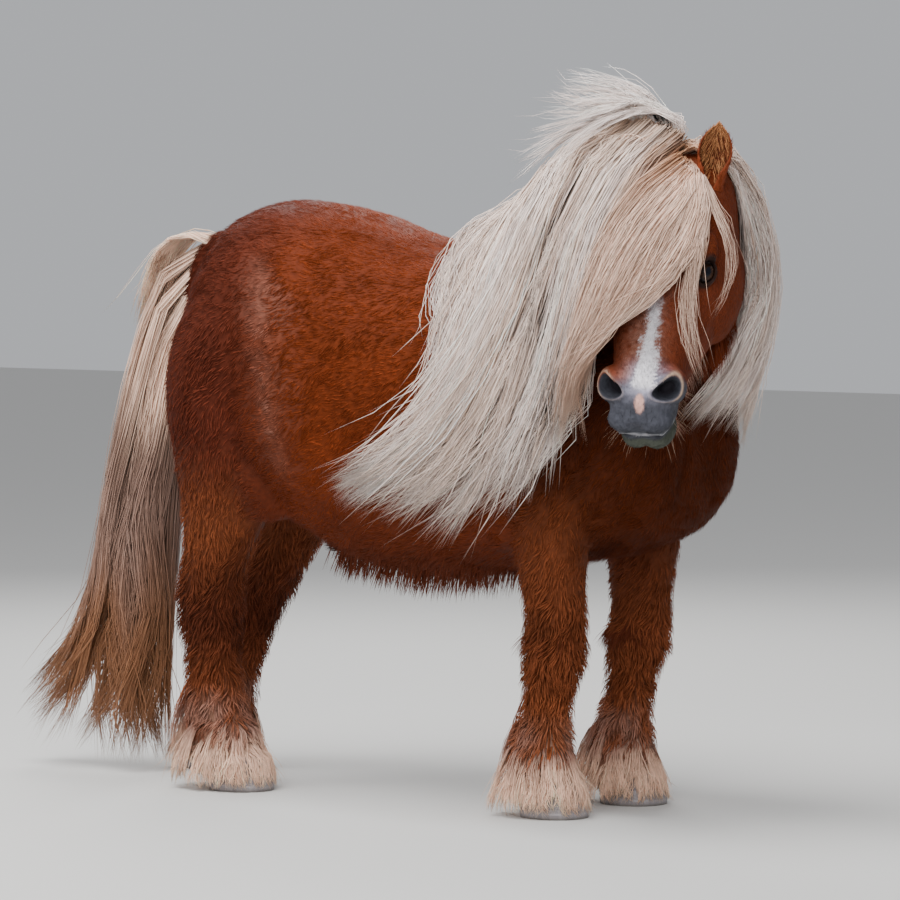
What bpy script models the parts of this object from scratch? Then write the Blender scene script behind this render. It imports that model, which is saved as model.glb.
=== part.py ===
"""A standing Shetland pony in its winter coat, life size, as a still model.

Metres, +Z up. The pony faces -Y, so its left side is +X. The ground is z = 0.
The flesh is made whole, from tapered lofts fused into one body, and is then
parted with thin cuts into the pieces that a person would name.
"""

import math

import bmesh
import bpy
import numpy as np
from mathutils import Matrix, Vector
from mathutils.bvhtree import BVHTree

CUT_GAP = 0.0003
TOUCH_STEP = 0.00008
HAIR_CLEAR = 0.0005

# Where the middle of the whole pony stands before it is moved over the origin.
MIDDLE = (-0.044, 0.365)

# The torso from the breast to the buttock: how far back, its top and bottom
# heights, half its width, the height where it is widest, and how square it is.
TORSO = [
    (-0.240, 0.700, 0.560, 0.060, 0.630, 2.0),
    (-0.222, 0.780, 0.490, 0.128, 0.630, 2.1),
    (-0.165, 0.850, 0.440, 0.178, 0.620, 2.2),
    (-0.060, 0.915, 0.412, 0.204, 0.610, 2.2),
    (0.050, 0.945, 0.396, 0.225, 0.600, 2.2),
    (0.180, 0.925, 0.376, 0.252, 0.610, 2.2),
    (0.300, 0.935, 0.372, 0.268, 0.620, 2.2),
    (0.420, 0.972, 0.398, 0.266, 0.640, 2.2),
    (0.520, 0.990, 0.445, 0.252, 0.680, 2.3),
    (0.600, 0.992, 0.490, 0.238, 0.720, 2.3),
    (0.665, 0.965, 0.540, 0.205, 0.740, 2.3),
    (0.712, 0.915, 0.600, 0.150, 0.750, 2.2),
    (0.736, 0.850, 0.660, 0.070, 0.750, 2.0),
]

# The neck from inside the chest to the poll: its middle, half its depth from
# crest to throat, and half its width.
NECK = [
    ((0.000, 0.060, 0.700), 0.220, 0.150),
    ((0.000, -0.040, 0.760), 0.205, 0.150),
    ((-0.015, -0.120, 0.825), 0.180, 0.134),
    ((-0.045, -0.185, 0.890), 0.152, 0.114),
    ((-0.085, -0.230, 0.945), 0.126, 0.097),
    ((-0.118, -0.258, 0.985), 0.098, 0.080),
]

# The bone of the tail, from inside the rump: back, height and half its width.
DOCK = [
    (0.660, 0.890, 0.050),
    (0.720, 0.905, 0.046),
    (0.765, 0.890, 0.040),
    (0.795, 0.840, 0.034),
    (0.803, 0.770, 0.029),
    (0.800, 0.700, 0.024),
    (0.797, 0.620, 0.015),
]

# A front leg, for the left side: across, fore and aft and height of its
# middle, half its width, and how deep it is ahead of and behind its middle.
FRONT_LEG = [
    (0.120, -0.060, 0.760, 0.075, 0.100, 0.110),
    (0.140, -0.080, 0.660, 0.084, 0.105, 0.110),
    (0.142, -0.070, 0.560, 0.078, 0.088, 0.098),
    (0.134, -0.042, 0.470, 0.063, 0.068, 0.074),
    (0.126, -0.036, 0.390, 0.054, 0.058, 0.062),
    (0.121, -0.036, 0.320, 0.049, 0.051, 0.051),
    (0.119, -0.034, 0.270, 0.049, 0.049, 0.051),
    (0.117, -0.024, 0.215, 0.039, 0.038, 0.041),
    (0.116, -0.016, 0.160, 0.037, 0.037, 0.043),
    (0.116, -0.010, 0.115, 0.045, 0.045, 0.054),
    (0.116, -0.010, 0.080, 0.049, 0.049, 0.058),
    (0.116, -0.012, 0.000, 0.055, 0.057, 0.060),
]

# A hind leg, in the same way.
HIND_LEG = [
    (0.110, 0.560, 0.880, 0.090, 0.110, 0.120),
    (0.135, 0.575, 0.770, 0.112, 0.150, 0.150),
    (0.150, 0.585, 0.660, 0.108, 0.150, 0.152),
    (0.150, 0.592, 0.560, 0.090, 0.118, 0.128),
    (0.142, 0.624, 0.470, 0.066, 0.082, 0.090),
    (0.132, 0.654, 0.395, 0.050, 0.062, 0.070),
    (0.126, 0.672, 0.325, 0.047, 0.058, 0.068),
    (0.122, 0.676, 0.260, 0.042, 0.048, 0.052),
    (0.119, 0.674, 0.190, 0.040, 0.042, 0.048),
    (0.117, 0.664, 0.125, 0.046, 0.048, 0.058),
    (0.117, 0.648, 0.080, 0.049, 0.050, 0.058),
    (0.117, 0.636, 0.000, 0.055, 0.057, 0.060),
]
# How far each foot is set back from where its table puts it. The shift grows
# down the leg as a power of how far below its top a place is.
SET_BACK = {
    "front_right": 0.0,
    "front_left": 0.006,
    "hind_right": 0.0,
    "hind_left": 0.250,
}
SET_BACK_POWER = 2.3

# A hoof from the ground up: height, half its width, and how deep it is ahead
# of and behind its middle.
HOOF = [
    (0.000, 0.050, 0.062, 0.046),
    (0.006, 0.051, 0.062, 0.047),
    (0.035, 0.046, 0.052, 0.045),
    (0.070, 0.041, 0.040, 0.043),
]
HOOF_FORWARD = 0.012
# The coronet is a slanted cut: its height at the middle of the hoof, and how
# much it rises for each metre ahead.
CORONET_HEIGHT = 0.040
CORONET_RISE = 0.22

# The head, from the poll to the lips: how far along, the top of the face and
# the line of the jaw measured from its axis, half the width, and squareness.
HEAD = [
    (-0.030, 0.010, -0.060, 0.046, 2.0),
    (0.000, 0.036, -0.095, 0.068, 2.1),
    (0.050, 0.056, -0.135, 0.082, 2.2),
    (0.100, 0.066, -0.154, 0.091, 2.3),
    (0.150, 0.066, -0.160, 0.094, 2.3),
    (0.200, 0.060, -0.154, 0.090, 2.3),
    (0.250, 0.052, -0.140, 0.079, 2.3),
    (0.300, 0.043, -0.115, 0.067, 2.3),
    (0.345, 0.034, -0.090, 0.058, 2.3),
    (0.388, 0.027, -0.078, 0.054, 2.3),
    (0.425, 0.012, -0.074, 0.050, 2.3),
    (0.450, -0.008, -0.064, 0.037, 2.2),
]
POLL = Vector((-0.120, -0.290, 1.040))
NOSE_WAY = Vector((-0.508, -0.128, -0.852)).normalized()
HEAD_TOP_WAY = Vector((-0.810, -0.264, 0.523)).normalized()

# Masses of muscle and bone that stand out of the lofts, for the left side:
# their middle and their three radii.
BODY_MASSES = [
    ((0.075, -0.183, 0.600), (0.080, 0.062, 0.120)),
    ((0.138, -0.120, 0.660), (0.060, 0.070, 0.120)),
    ((0.112, -0.010, 0.760), (0.082, 0.110, 0.140)),
    ((0.135, 0.045, 0.480), (0.045, 0.045, 0.055)),
    ((0.105, 0.640, 0.700), (0.085, 0.090, 0.170)),
    ((0.148, 0.470, 0.850), (0.068, 0.080, 0.075)),
    ((0.160, 0.520, 0.560), (0.072, 0.085, 0.110)),
]
SHEATH = ((0.0, 0.455, 0.425), (0.034, 0.070, 0.038))

# The same on the head: across from the middle, how far along, how far above
# the axis, and the radii across, along and up.
HEAD_MASSES = [
    ((0.060, 0.165, -0.072), (0.042, 0.098, 0.078)),
    ((0.064, 0.166, 0.034), (0.026, 0.040, 0.022)),
    ((0.045, 0.384, -0.004), (0.027, 0.032, 0.030)),
    ((0.022, 0.432, -0.026), (0.032, 0.024, 0.022)),
    ((0.016, 0.422, -0.072), (0.030, 0.036, 0.023)),
]
EYE_PLACE = (0.067, 0.193, 0.018)
EYE_RADIUS = 0.0200
EYE_GAP = 0.0004
LID_RADIUS = 0.0252
LID_OPENING = (0.0185, 0.0125)
LOOK_WAY = (0.66, 0.28, 0.70)
NOSTRIL_PLACE = (0.040, 0.388, -0.002)
NOSTRIL_WAY = (0.34, 0.62, 0.71)
NOSTRIL_LONG_WAY = (0.80, -0.55, 0.10)
NOSTRIL_RADII = (0.0250, 0.0150, 0.0220)
MOUTH_LINE = [
    (0.062, 0.355, -0.062),
    (0.058, 0.388, -0.057),
    (0.046, 0.422, -0.051),
    (0.026, 0.450, -0.048),
    (0.000, 0.460, -0.047),
]
# An ear: where its root is on the head, which way its tip and its open side
# face there, its length, and rows of how far up, half width and half depth.
EAR_ROOT = (0.052, 0.022, 0.032)
EAR_WAY = {1: (0.12, -0.85, 0.52), -1: (0.62, -0.66, 0.20)}
EAR_FACE = {1: (0.28, 0.45, 0.85), -1: (0.20, 0.35, 0.90)}
EAR_ROWS = [
    (-0.035, 0.020, 0.018),
    (0.000, 0.0220, 0.0185),
    (0.018, 0.0255, 0.0185),
    (0.037, 0.0270, 0.0165),
    (0.055, 0.0230, 0.0130),
    (0.069, 0.0140, 0.0090),
    (0.079, 0.0045, 0.0040),
]
EAR_CUT = 0.010
EAR_WALL = 0.0055
EAR_CUP_FLOOR = 0.014

# Hair. Each form is a row of guide lines in space, from the root on the skin
# to the tip; locks are read off between the guides.
MANE_RIGHT = [
    [(-0.125, -0.250, 1.062), (-0.120, -0.294, 1.107), (-0.200, -0.270, 1.057),
     (-0.270, -0.246, 0.948), (-0.310, -0.237, 0.840), (-0.320, -0.221, 0.740),
     (-0.310, -0.180, 0.636), (-0.290, -0.136, 0.571)],
    [(-0.105, -0.205, 1.060), (-0.110, -0.245, 1.130), (-0.180, -0.202, 1.081),
     (-0.260, -0.178, 0.971), (-0.300, -0.149, 0.838), (-0.310, -0.106, 0.712),
     (-0.300, -0.033, 0.584), (-0.280, 0.077, 0.476)],
    [(-0.075, -0.160, 1.045), (-0.100, -0.184, 1.135), (-0.160, -0.130, 1.089),
     (-0.240, -0.100, 0.963), (-0.290, -0.058, 0.821), (-0.300, 0.000, 0.694),
     (-0.295, 0.090, 0.583), (-0.285, 0.223, 0.527)],
    [(-0.045, -0.110, 1.020), (-0.080, -0.102, 1.124), (-0.130, -0.040, 1.060),
     (-0.210, -0.019, 0.938), (-0.260, 0.009, 0.803), (-0.280, 0.053, 0.695),
     (-0.285, 0.130, 0.607), (-0.280, 0.259, 0.530)],
    [(-0.015, -0.045, 0.985), (-0.050, 0.008, 1.073), (-0.090, 0.048, 0.993),
     (-0.160, 0.063, 0.897), (-0.220, 0.066, 0.801), (-0.255, 0.076, 0.722),
     (-0.270, 0.105, 0.650), (-0.275, 0.165, 0.592)],
    [(-0.005, 0.030, 0.957), (-0.030, 0.092, 0.995), (-0.060, 0.125, 0.969),
     (-0.110, 0.152, 0.944), (-0.150, 0.161, 0.895), (-0.180, 0.140, 0.851),
     (-0.200, 0.101, 0.823), (-0.215, 0.060, 0.800)],
]
MANE_STREAM = [
    [(-0.100, -0.205, 1.055), (-0.100, -0.244, 1.123), (-0.090, -0.179, 1.162),
     (-0.075, -0.108, 1.188), (-0.060, -0.033, 1.198)],
    [(-0.070, -0.155, 1.040), (-0.090, -0.177, 1.128), (-0.090, -0.102, 1.137),
     (-0.070, -0.026, 1.144), (-0.060, 0.030, 1.151)],
    [(-0.035, -0.090, 1.005), (-0.060, -0.059, 1.108), (-0.070, -0.007, 1.089),
     (-0.080, 0.030, 1.057), (-0.090, 0.074, 1.012)],
]
MANE_LEFT = [
    [(-0.110, -0.235, 1.060), (-0.090, -0.331, 1.088), (-0.040, -0.345, 1.033),
     (0.000, -0.356, 0.965), (0.020, -0.357, 0.883), (0.020, -0.344, 0.787),
     (0.010, -0.312, 0.707), (-0.010, -0.268, 0.662)],
    [(-0.090, -0.190, 1.055), (-0.050, -0.300, 1.085), (0.010, -0.320, 1.020),
     (0.055, -0.338, 0.930), (0.070, -0.337, 0.842), (0.075, -0.320, 0.761),
     (0.070, -0.295, 0.697), (0.060, -0.260, 0.648)],
    [(-0.050, -0.120, 1.025), (0.040, -0.170, 1.030), (0.100, -0.220, 0.950),
     (0.130, -0.250, 0.870), (0.150, -0.250, 0.790), (0.160, -0.240, 0.720),
     (0.160, -0.230, 0.660), (0.150, -0.220, 0.610)],
    [(-0.005, -0.010, 0.970), (0.060, -0.020, 0.985), (0.130, -0.030, 0.920),
     (0.180, -0.030, 0.840), (0.210, -0.030, 0.770), (0.225, -0.025, 0.710),
     (0.230, -0.015, 0.660), (0.230, 0.000, 0.610)],
]
FORELOCK = [
    [(-0.135, -0.275, 1.060), (-0.150, -0.315, 1.073), (-0.210, -0.290, 1.041),
     (-0.270, -0.261, 0.979), (-0.310, -0.237, 0.894), (-0.335, -0.220, 0.801),
     (-0.340, -0.201, 0.708), (-0.335, -0.175, 0.621)],
    [(-0.140, -0.290, 1.060), (-0.180, -0.331, 1.038), (-0.240, -0.310, 0.987),
     (-0.300, -0.286, 0.918), (-0.335, -0.268, 0.833), (-0.345, -0.246, 0.756),
     (-0.345, -0.228, 0.678)],
    [(-0.143, -0.300, 1.058), (-0.190, -0.346, 1.010), (-0.250, -0.336, 0.956),
     (-0.310, -0.322, 0.887), (-0.340, -0.300, 0.818), (-0.350, -0.280, 0.756),
     (-0.350, -0.261, 0.694)],
    [(-0.146, -0.310, 1.055), (-0.190, -0.361, 0.987), (-0.250, -0.383, 0.921),
     (-0.300, -0.371, 0.862), (-0.330, -0.336, 0.829), (-0.345, -0.309, 0.780),
     (-0.350, -0.284, 0.726)],
]
FACE_STRANDS = [
    [(-0.148, -0.318, 1.052), (-0.190, -0.370, 0.987), (-0.240, -0.395, 0.926),
     (-0.270, -0.393, 0.864), (-0.280, -0.389, 0.811), (-0.290, -0.411, 0.764),
     (-0.290, -0.432, 0.723)],
    [(-0.148, -0.322, 1.050), (-0.170, -0.377, 0.987), (-0.180, -0.407, 0.952),
     (-0.190, -0.429, 0.910), (-0.200, -0.426, 0.871), (-0.220, -0.412, 0.838)],
]
TAIL = [
    [(0.000, 0.770, 0.920), (0.000, 0.855, 0.905), (0.000, 0.912, 0.800),
     (0.000, 0.950, 0.677), (0.000, 0.987, 0.555), (0.000, 1.012, 0.432),
     (0.000, 1.029, 0.335), (0.000, 1.076, 0.246), (0.000, 1.132, 0.180),
     (0.000, 1.180, 0.150)],
    [(0.000, 0.805, 0.870), (0.000, 0.852, 0.835), (0.000, 0.890, 0.739),
     (0.000, 0.926, 0.609), (0.000, 0.956, 0.469), (0.000, 0.979, 0.364),
     (0.000, 1.011, 0.266), (0.000, 1.048, 0.203), (0.000, 1.085, 0.134),
     (0.000, 1.130, 0.080)],
    [(0.000, 0.812, 0.800), (0.000, 0.842, 0.760), (0.000, 0.868, 0.661),
     (0.000, 0.892, 0.523), (0.000, 0.913, 0.384), (0.000, 0.925, 0.262),
     (0.000, 0.932, 0.157), (0.000, 0.939, 0.061)],
    [(0.000, 0.790, 0.730), (0.000, 0.820, 0.690), (0.000, 0.846, 0.608),
     (0.000, 0.862, 0.490), (0.000, 0.872, 0.351), (0.000, 0.880, 0.230),
     (0.000, 0.882, 0.125), (0.000, 0.878, 0.053)],
]
TAIL_FAN = [
    [(-0.020, 0.765, 0.915), (-0.025, 0.810, 0.932), (-0.030, 0.860, 0.925),
     (-0.035, 0.905, 0.885)],
    [(0.020, 0.765, 0.915), (0.025, 0.810, 0.932), (0.030, 0.860, 0.925),
     (0.035, 0.905, 0.885)],
]
TAIL_HALF_WIDTH = 0.055
# For each form: how many locks, how many layers, the width and the thickness
# of a lock, how far a lock keeps off the skin, and how many rings it has.
LOCKS = {
    "mane_right": (10, 2, 0.054, 0.014, 0.004, 6),
    "mane_stream": (4, 1, 0.028, 0.010, 0.004, 5),
    "mane_left": (6, 2, 0.062, 0.014, 0.004, 6),
    "forelock": (6, 2, 0.044, 0.012, 0.004, 6),
    "face_strands": (3, 1, 0.016, 0.008, 0.004, 6),
    "tail": (9, 2, 0.052, 0.020, 0.004, 7),
    "tail_fan": (3, 1, 0.036, 0.014, 0.004, 4),
    "feather": (6, 2, 0.042, 0.012, 0.003, 4),
    "beard": (5, 1, 0.026, 0.010, 0.003, 4),
    "breast": (5, 1, 0.038, 0.014, 0.003, 4),
}
# The locks round a foot: the height of their roots and of their tips in the
# lowest layer, how much higher each layer is, and how far the tips stand out.
FEATHER_TOP = 0.072
FEATHER_END = 0.008
FEATHER_STEP = 0.026
FEATHER_REACH = 0.016
# How far a lock sways to the side, and how much its length varies.
SWAY = 0.012
LENGTH_SPREAD = 0.14
SEED = 7

# The colour and roughness of each kind of piece.
FINISHES = {
    "torso": ((0.235, 0.075, 0.028), 0.75),
    "neck": ((0.660, 0.560, 0.430), 0.65),
    "head": ((0.260, 0.085, 0.032), 0.75),
    "ear": ((0.210, 0.070, 0.028), 0.75),
    "eye": ((0.012, 0.009, 0.008), 0.10),
    "leg": ((0.180, 0.060, 0.028), 0.75),
    "hoof": ((0.230, 0.210, 0.200), 0.50),
    "tail": ((0.560, 0.440, 0.310), 0.65),
}


# How many triangles of the fused skin are kept where each copy is cut from.
HEAD_KEPT = 1900
LIMB_KEPT = 2100
TORSO_KEPT = 1400


def clear_scene():
    for old in list(bpy.data.objects):
        bpy.data.objects.remove(old)


def smooth_rows(rows, count):
    """The rows of a table read along a smooth curve, as count rows."""
    rows = np.array(rows, float)
    steps = np.linalg.norm(np.diff(rows[:, :3], axis=0), axis=1)
    at = np.concatenate([[0.0], np.cumsum(steps)])
    slopes = np.gradient(rows, at, axis=0)
    wanted = np.linspace(0.0, at[-1], count)
    cell = np.clip(np.searchsorted(at, wanted) - 1, 0, len(at) - 2)
    width = (at[cell + 1] - at[cell])[:, None]
    t = ((wanted - at[cell])[:, None]) / width
    start, end = rows[cell], rows[cell + 1]
    return (
        (2 * t**3 - 3 * t**2 + 1) * start
        + (t**3 - 2 * t**2 + t) * width * slopes[cell]
        + (3 * t**2 - 2 * t**3) * end
        + (t**3 - t**2) * width * slopes[cell + 1]
    )


def ring_of(middle, across, up, half_width, half_up, half_down, square, sides):
    """One closed ring of points, rounder or squarer, deeper above than below."""
    angle = np.linspace(0.0, 2 * np.pi, sides, endpoint=False)
    c, s = np.cos(angle), np.sin(angle)
    x = np.sign(c) * np.abs(c) ** (2 / square) * half_width
    z = np.sign(s) * np.abs(s) ** (2 / square) * np.where(s > 0, half_up, half_down)
    return middle + x[:, None] * across + z[:, None] * up


def object_from(mesh, name):
    """A scene object from a bmesh, with its faces pointing out."""
    bmesh.ops.recalc_face_normals(mesh, faces=mesh.faces)
    data = bpy.data.meshes.new(name)
    mesh.to_mesh(data)
    mesh.free()
    made = bpy.data.objects.new(name, data)
    bpy.context.scene.collection.objects.link(made)
    return made


def skin_rings(name, rings):
    """A closed mesh object through a row of rings, with a point at each end."""
    mesh = bmesh.new()
    loops = [[mesh.verts.new(point) for point in ring] for ring in rings]
    sides = len(loops[0])
    for first, second in zip(loops, loops[1:]):
        for i in range(sides):
            j = (i + 1) % sides
            mesh.faces.new((first[i], first[j], second[j], second[i]))
    for loop in (loops[0], loops[-1]):
        middle = mesh.verts.new(sum((v.co for v in loop), Vector()) / sides)
        for i in range(sides):
            mesh.faces.new((loop[i], loop[(i + 1) % sides], middle))
    return object_from(mesh, name)


def blob(name, middle, radii, turn=None, sides=24):
    """An ellipsoid."""
    mesh = bmesh.new()
    bmesh.ops.create_uvsphere(mesh, u_segments=sides, v_segments=sides // 2, radius=1.0)
    place = Matrix.Translation(middle) @ Matrix.Diagonal((*radii, 1.0))
    bmesh.ops.transform(mesh, matrix=(turn or Matrix()) @ place, verts=mesh.verts)
    return object_from(mesh, name)


def torso_loft():
    rings = []
    across, up = np.array((1.0, 0, 0)), np.array((0, 0, 1.0))
    for back, top, bottom, half, wide, square in smooth_rows(TORSO, 40):
        middle = np.array((0.0, back, wide))
        rings.append(
            ring_of(middle, across, up, half, top - wide, wide - bottom, square, 40)
        )
    return skin_rings("torso_loft", rings)


def neck_loft():
    rows = smooth_rows([(*middle, deep, half) for middle, deep, half in NECK], 24)
    ways = np.gradient(rows[:, :3], axis=0)
    rings = []
    for row, way in zip(rows, ways):
        way = way / np.linalg.norm(way)
        across = np.cross(way, (0, 0, 1.0))
        across /= np.linalg.norm(across)
        up = np.cross(across, way)
        rings.append(ring_of(row[:3], across, up, row[4], row[3], row[3], 2.0, 32))
    return skin_rings("neck_loft", rings)


def leg_loft(name, table, side, set_back):
    """A leg as a row of level ovals. Its foot is set back, and its top stays."""
    across, back = np.array((1.0, 0, 0)), np.array((0, 1.0, 0))
    rings = []
    for x, y, height, half, ahead, behind in smooth_rows(table, 34):
        y += set_back * (1.0 - height / table[0][2]) ** SET_BACK_POWER
        middle = np.array((side * x, y, height))
        rings.append(ring_of(middle, across, back, half, behind, ahead, 2.0, 24))
    return skin_rings(name, rings)


def dock_loft():
    rings = []
    rows = smooth_rows([(0.0, back, height, half) for back, height, half in DOCK], 16)
    ways = np.gradient(rows[:, :3], axis=0)
    across = np.array((1.0, 0, 0))
    for row, way in zip(rows, ways):
        up = np.cross(way / np.linalg.norm(way), across)
        rings.append(ring_of(row[:3], across, up, row[3], row[3], row[3], 2.0, 16))
    return skin_rings("dock_loft", rings)


def head_frame():
    """The matrix that carries the head's own axes (left, back, top) to the pony's."""
    left = HEAD_TOP_WAY.cross(NOSE_WAY).normalized()
    top = NOSE_WAY.cross(left).normalized()
    turn = Matrix((left, -NOSE_WAY, top)).transposed().to_4x4()
    return Matrix.Translation(POLL) @ turn


def on_head(frame, place, side=1):
    """A place on the head, given as across, how far along, and height."""
    across, along, height = place
    return frame @ Vector((side * across, -along, height))


def way_on_head(frame, way, side=1):
    across, along, height = way
    return (frame.to_3x3() @ Vector((side * across, -along, height))).normalized()


def head_loft(frame):
    rows = [(s, 0, 0, top, low, half, square) for s, top, low, half, square in HEAD]
    across, up = np.array((1.0, 0, 0)), np.array((0, 0, 1.0))
    rings = []
    for s, _, _, top, low, half, square in smooth_rows(rows, 34):
        wide = low + 0.55 * (top - low)
        middle = np.array((0.0, -s, wide))
        ring = ring_of(middle, across, up, half, top - wide, wide - low, square, 32)
        rings.append([frame @ Vector(p) for p in ring])
    return skin_rings("head_loft", rings)


def facing(way, hint):
    """A turn whose z axis points along way and whose x axis lies near the hint."""
    z = Vector(way).normalized()
    x = Vector(hint)
    x = (x - z * x.dot(z)).normalized()
    return Matrix((x, z.cross(x), z)).transposed().to_4x4()


def ear_frame(frame, side):
    """The ear's own axes: x across the cup, y into its back, z up to its tip."""
    way = way_on_head(frame, EAR_WAY[side], side)
    face = way_on_head(frame, EAR_FACE[side], side)
    turn = facing(way, way.cross(face))
    return Matrix.Translation(on_head(frame, EAR_ROOT, side)) @ turn


def ear_loft(frame, side):
    """The outside of the ear as a row of ovals."""
    rows = smooth_rows([(0, 0, up, half, deep) for up, half, deep in EAR_ROWS], 14)
    own = ear_frame(frame, side)
    across, back = np.array((1.0, 0, 0)), np.array((0, 1.0, 0))
    rings = []
    for _, _, up, half, deep in rows:
        middle = np.array((0.0, 0.0, up))
        ring = ring_of(middle, across, back, half, deep, deep, 2.0, 16)
        rings.append([own @ Vector(p) for p in ring])
    return skin_rings("ear_loft", rings)


def ear_cup(frame, side):
    """The form that hollows the cup of the ear and opens its face."""
    rows = smooth_rows([(0, 0, up, half, deep) for up, half, deep in EAR_ROWS], 14)
    own = ear_frame(frame, side)
    across, back = np.array((1.0, 0, 0)), np.array((0, 1.0, 0))
    rings = []
    top = EAR_ROWS[-1][0]
    for _, _, up, half, deep in rows:
        if up < EAR_CUP_FLOOR or up > top - 0.010:
            continue
        open_up = min((up - EAR_CUP_FLOOR) / 0.012, 1.0)
        half = max(half - EAR_WALL, 0.002) * (0.45 + 0.55 * open_up)
        deep = max(deep - EAR_WALL * 0.7, 0.002)
        middle = np.array((0.0, -0.35 * deep - 0.004, up))
        ring = ring_of(middle, across, back, half, deep, deep * 1.6, 2.0, 12)
        rings.append([own @ Vector(p) for p in ring])
    return skin_rings("ear_cup", rings)


def region(planes, grow=0.0):
    """The convex space inside a list of planes, each a point and its way out."""
    mesh = bmesh.new()
    bmesh.ops.create_cube(mesh, size=6.0)
    for place, way in planes:
        way = Vector(way).normalized()
        bmesh.ops.bisect_plane(
            mesh,
            geom=mesh.verts[:] + mesh.edges[:] + mesh.faces[:],
            plane_co=Vector(place) + way * grow,
            plane_no=way,
            clear_outer=True,
        )
        rim = [edge for edge in mesh.edges if edge.is_boundary]
        bmesh.ops.edgenet_fill(mesh, edges=rim)
    return object_from(mesh, "region")


def applied(body):
    """The object with its modifiers made part of its mesh."""
    graph = bpy.context.evaluated_depsgraph_get()
    data = bpy.data.meshes.new_from_object(body.evaluated_get(graph))
    body.modifiers.clear()
    body.data = data
    return body


def fuse(name, objects, voxel, rounds):
    """The objects as one smooth closed skin."""
    mesh = bmesh.new()
    for part in objects:
        mesh.from_mesh(part.data)
        bpy.data.objects.remove(part)
    body = object_from(mesh, name)
    remesh = body.modifiers.new("one_skin", "REMESH")
    remesh.mode = "VOXEL"
    remesh.voxel_size = voxel
    smooth = body.modifiers.new("soften", "SMOOTH")
    smooth.factor = 0.5
    smooth.iterations = rounds
    return largest(applied(body))


def copy_of(body, name):
    made = bpy.data.objects.new(name, body.data.copy())
    bpy.context.scene.collection.objects.link(made)
    return made


def thinned(body, name, kept):
    """A copy of the skin with about the wanted number of triangles."""
    made = copy_of(body, name)
    triangles = sum(len(p.vertices) - 2 for p in made.data.polygons)
    thin = made.modifiers.new("thin", "DECIMATE")
    thin.ratio = kept / triangles
    return applied(made)


def boolean(body, tool, operation, solver="EXACT"):
    """The body cut by, kept inside or joined with the tool, which is removed."""
    cut = body.modifiers.new("cut", "BOOLEAN")
    cut.object = tool
    cut.operation = operation
    cut.solver = solver
    applied(body)
    bpy.data.objects.remove(tool)
    return body


def largest(body):
    """The body with only its largest closed surface kept."""
    mesh = bmesh.new()
    mesh.from_mesh(body.data)
    mesh.verts.ensure_lookup_table()
    left = set(mesh.verts)
    islands = []
    while left:
        seed = left.pop()
        island, edge = {seed}, [seed]
        while edge:
            for link in edge.pop().link_edges:
                for vert in link.verts:
                    if vert in left:
                        left.discard(vert)
                        island.add(vert)
                        edge.append(vert)
        islands.append(island)
    islands.sort(key=len)
    for island in islands[:-1]:
        bmesh.ops.delete(mesh, geom=list(island), context="VERTS")
    bmesh.ops.recalc_face_normals(mesh, faces=mesh.faces)
    mesh.to_mesh(body.data)
    mesh.free()
    return body


def flesh_parts(frame):
    parts = [torso_loft(), neck_loft(), head_loft(frame), dock_loft()]
    for name, set_back in SET_BACK.items():
        table = FRONT_LEG if name.startswith("front") else HIND_LEG
        side = 1 if name.endswith("left") else -1
        parts.append(leg_loft(name, table, side, set_back))
    for middle, radii in BODY_MASSES:
        for side in (1, -1):
            x, y, z = middle
            parts.append(blob("mass", (side * x, y, z), radii))
    parts.append(blob("sheath", *SHEATH))
    parts += head_masses(frame)
    return parts


def head_masses(frame):
    masses = []
    for (half, s, up), radii in HEAD_MASSES:
        for side in (1, -1):
            masses.append(blob("mass", (side * half, -s, up), radii, frame))
    return masses


def head_parts(frame):
    """The lofts and masses of the head, with its lids and ears and the neck."""
    parts = [neck_loft(), head_loft(frame)] + head_masses(frame)
    for side in (1, -1):
        lid = on_head(frame, EYE_PLACE, side)
        parts.append(blob("lid", lid, [LID_RADIUS] * 3))
        parts.append(ear_loft(frame, side))
    return parts


def leg_region(name, grow=0.0):
    """The space of one leg above its hoof."""
    side = 1 if name.endswith("left") else -1
    if name.startswith("front"):
        planes = [
            ((0.062, 0, 0), (-1, 0, 0)),
            ((0.130, -0.03, 0.460), (-0.5, 0, 1)),
            ((0.130, 0.035, 0.450), (0, 0.70, 0.71)),
            ((0.130, -0.16, 0.450), (0, -0.90, 0.43)),
        ]
    else:
        planes = [
            ((0.055, 0, 0), (-1, 0, 0)),
            ((0.150, 0.60, 0.560), (-0.55, 0, 1)),
            ((0.150, 0.475, 0.4), (0, -1, 0)),
        ]
    planes = [((side * p[0], p[1], p[2]), (side * w[0], w[1], w[2])) for p, w in planes]
    planes.append(coronet_plane(name))
    return region(planes, grow)


def foot_middle(name):
    """Where the middle of a hoof stands."""
    table = FRONT_LEG if name.startswith("front") else HIND_LEG
    side = 1 if name.endswith("left") else -1
    x, y, height = table[-1][:3]
    y += SET_BACK[name] * (1.0 - height / table[0][2]) ** SET_BACK_POWER
    return Vector((side * x, y - HOOF_FORWARD, 0.0))


def coronet_plane(name):
    """The slanted plane between a leg and its hoof, facing down."""
    middle = foot_middle(name)
    return (middle + Vector((0, 0, CORONET_HEIGHT)), (0, -CORONET_RISE, -1))


def hoof(name):
    middle = foot_middle(name)
    across, back = np.array((1.0, 0, 0)), np.array((0, 1.0, 0))
    rings = []
    for height, half, ahead, behind in HOOF:
        centre = np.array(middle) + (0.0, 0.0, height)
        rings.append(ring_of(centre, across, back, half, behind, ahead, 2.3, 16))
    made = skin_rings("hoof_" + name, rings)
    place, way = coronet_plane(name)
    space = region([(place, -Vector(way))], -CUT_GAP)
    return boolean(made, space, "INTERSECT")


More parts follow.
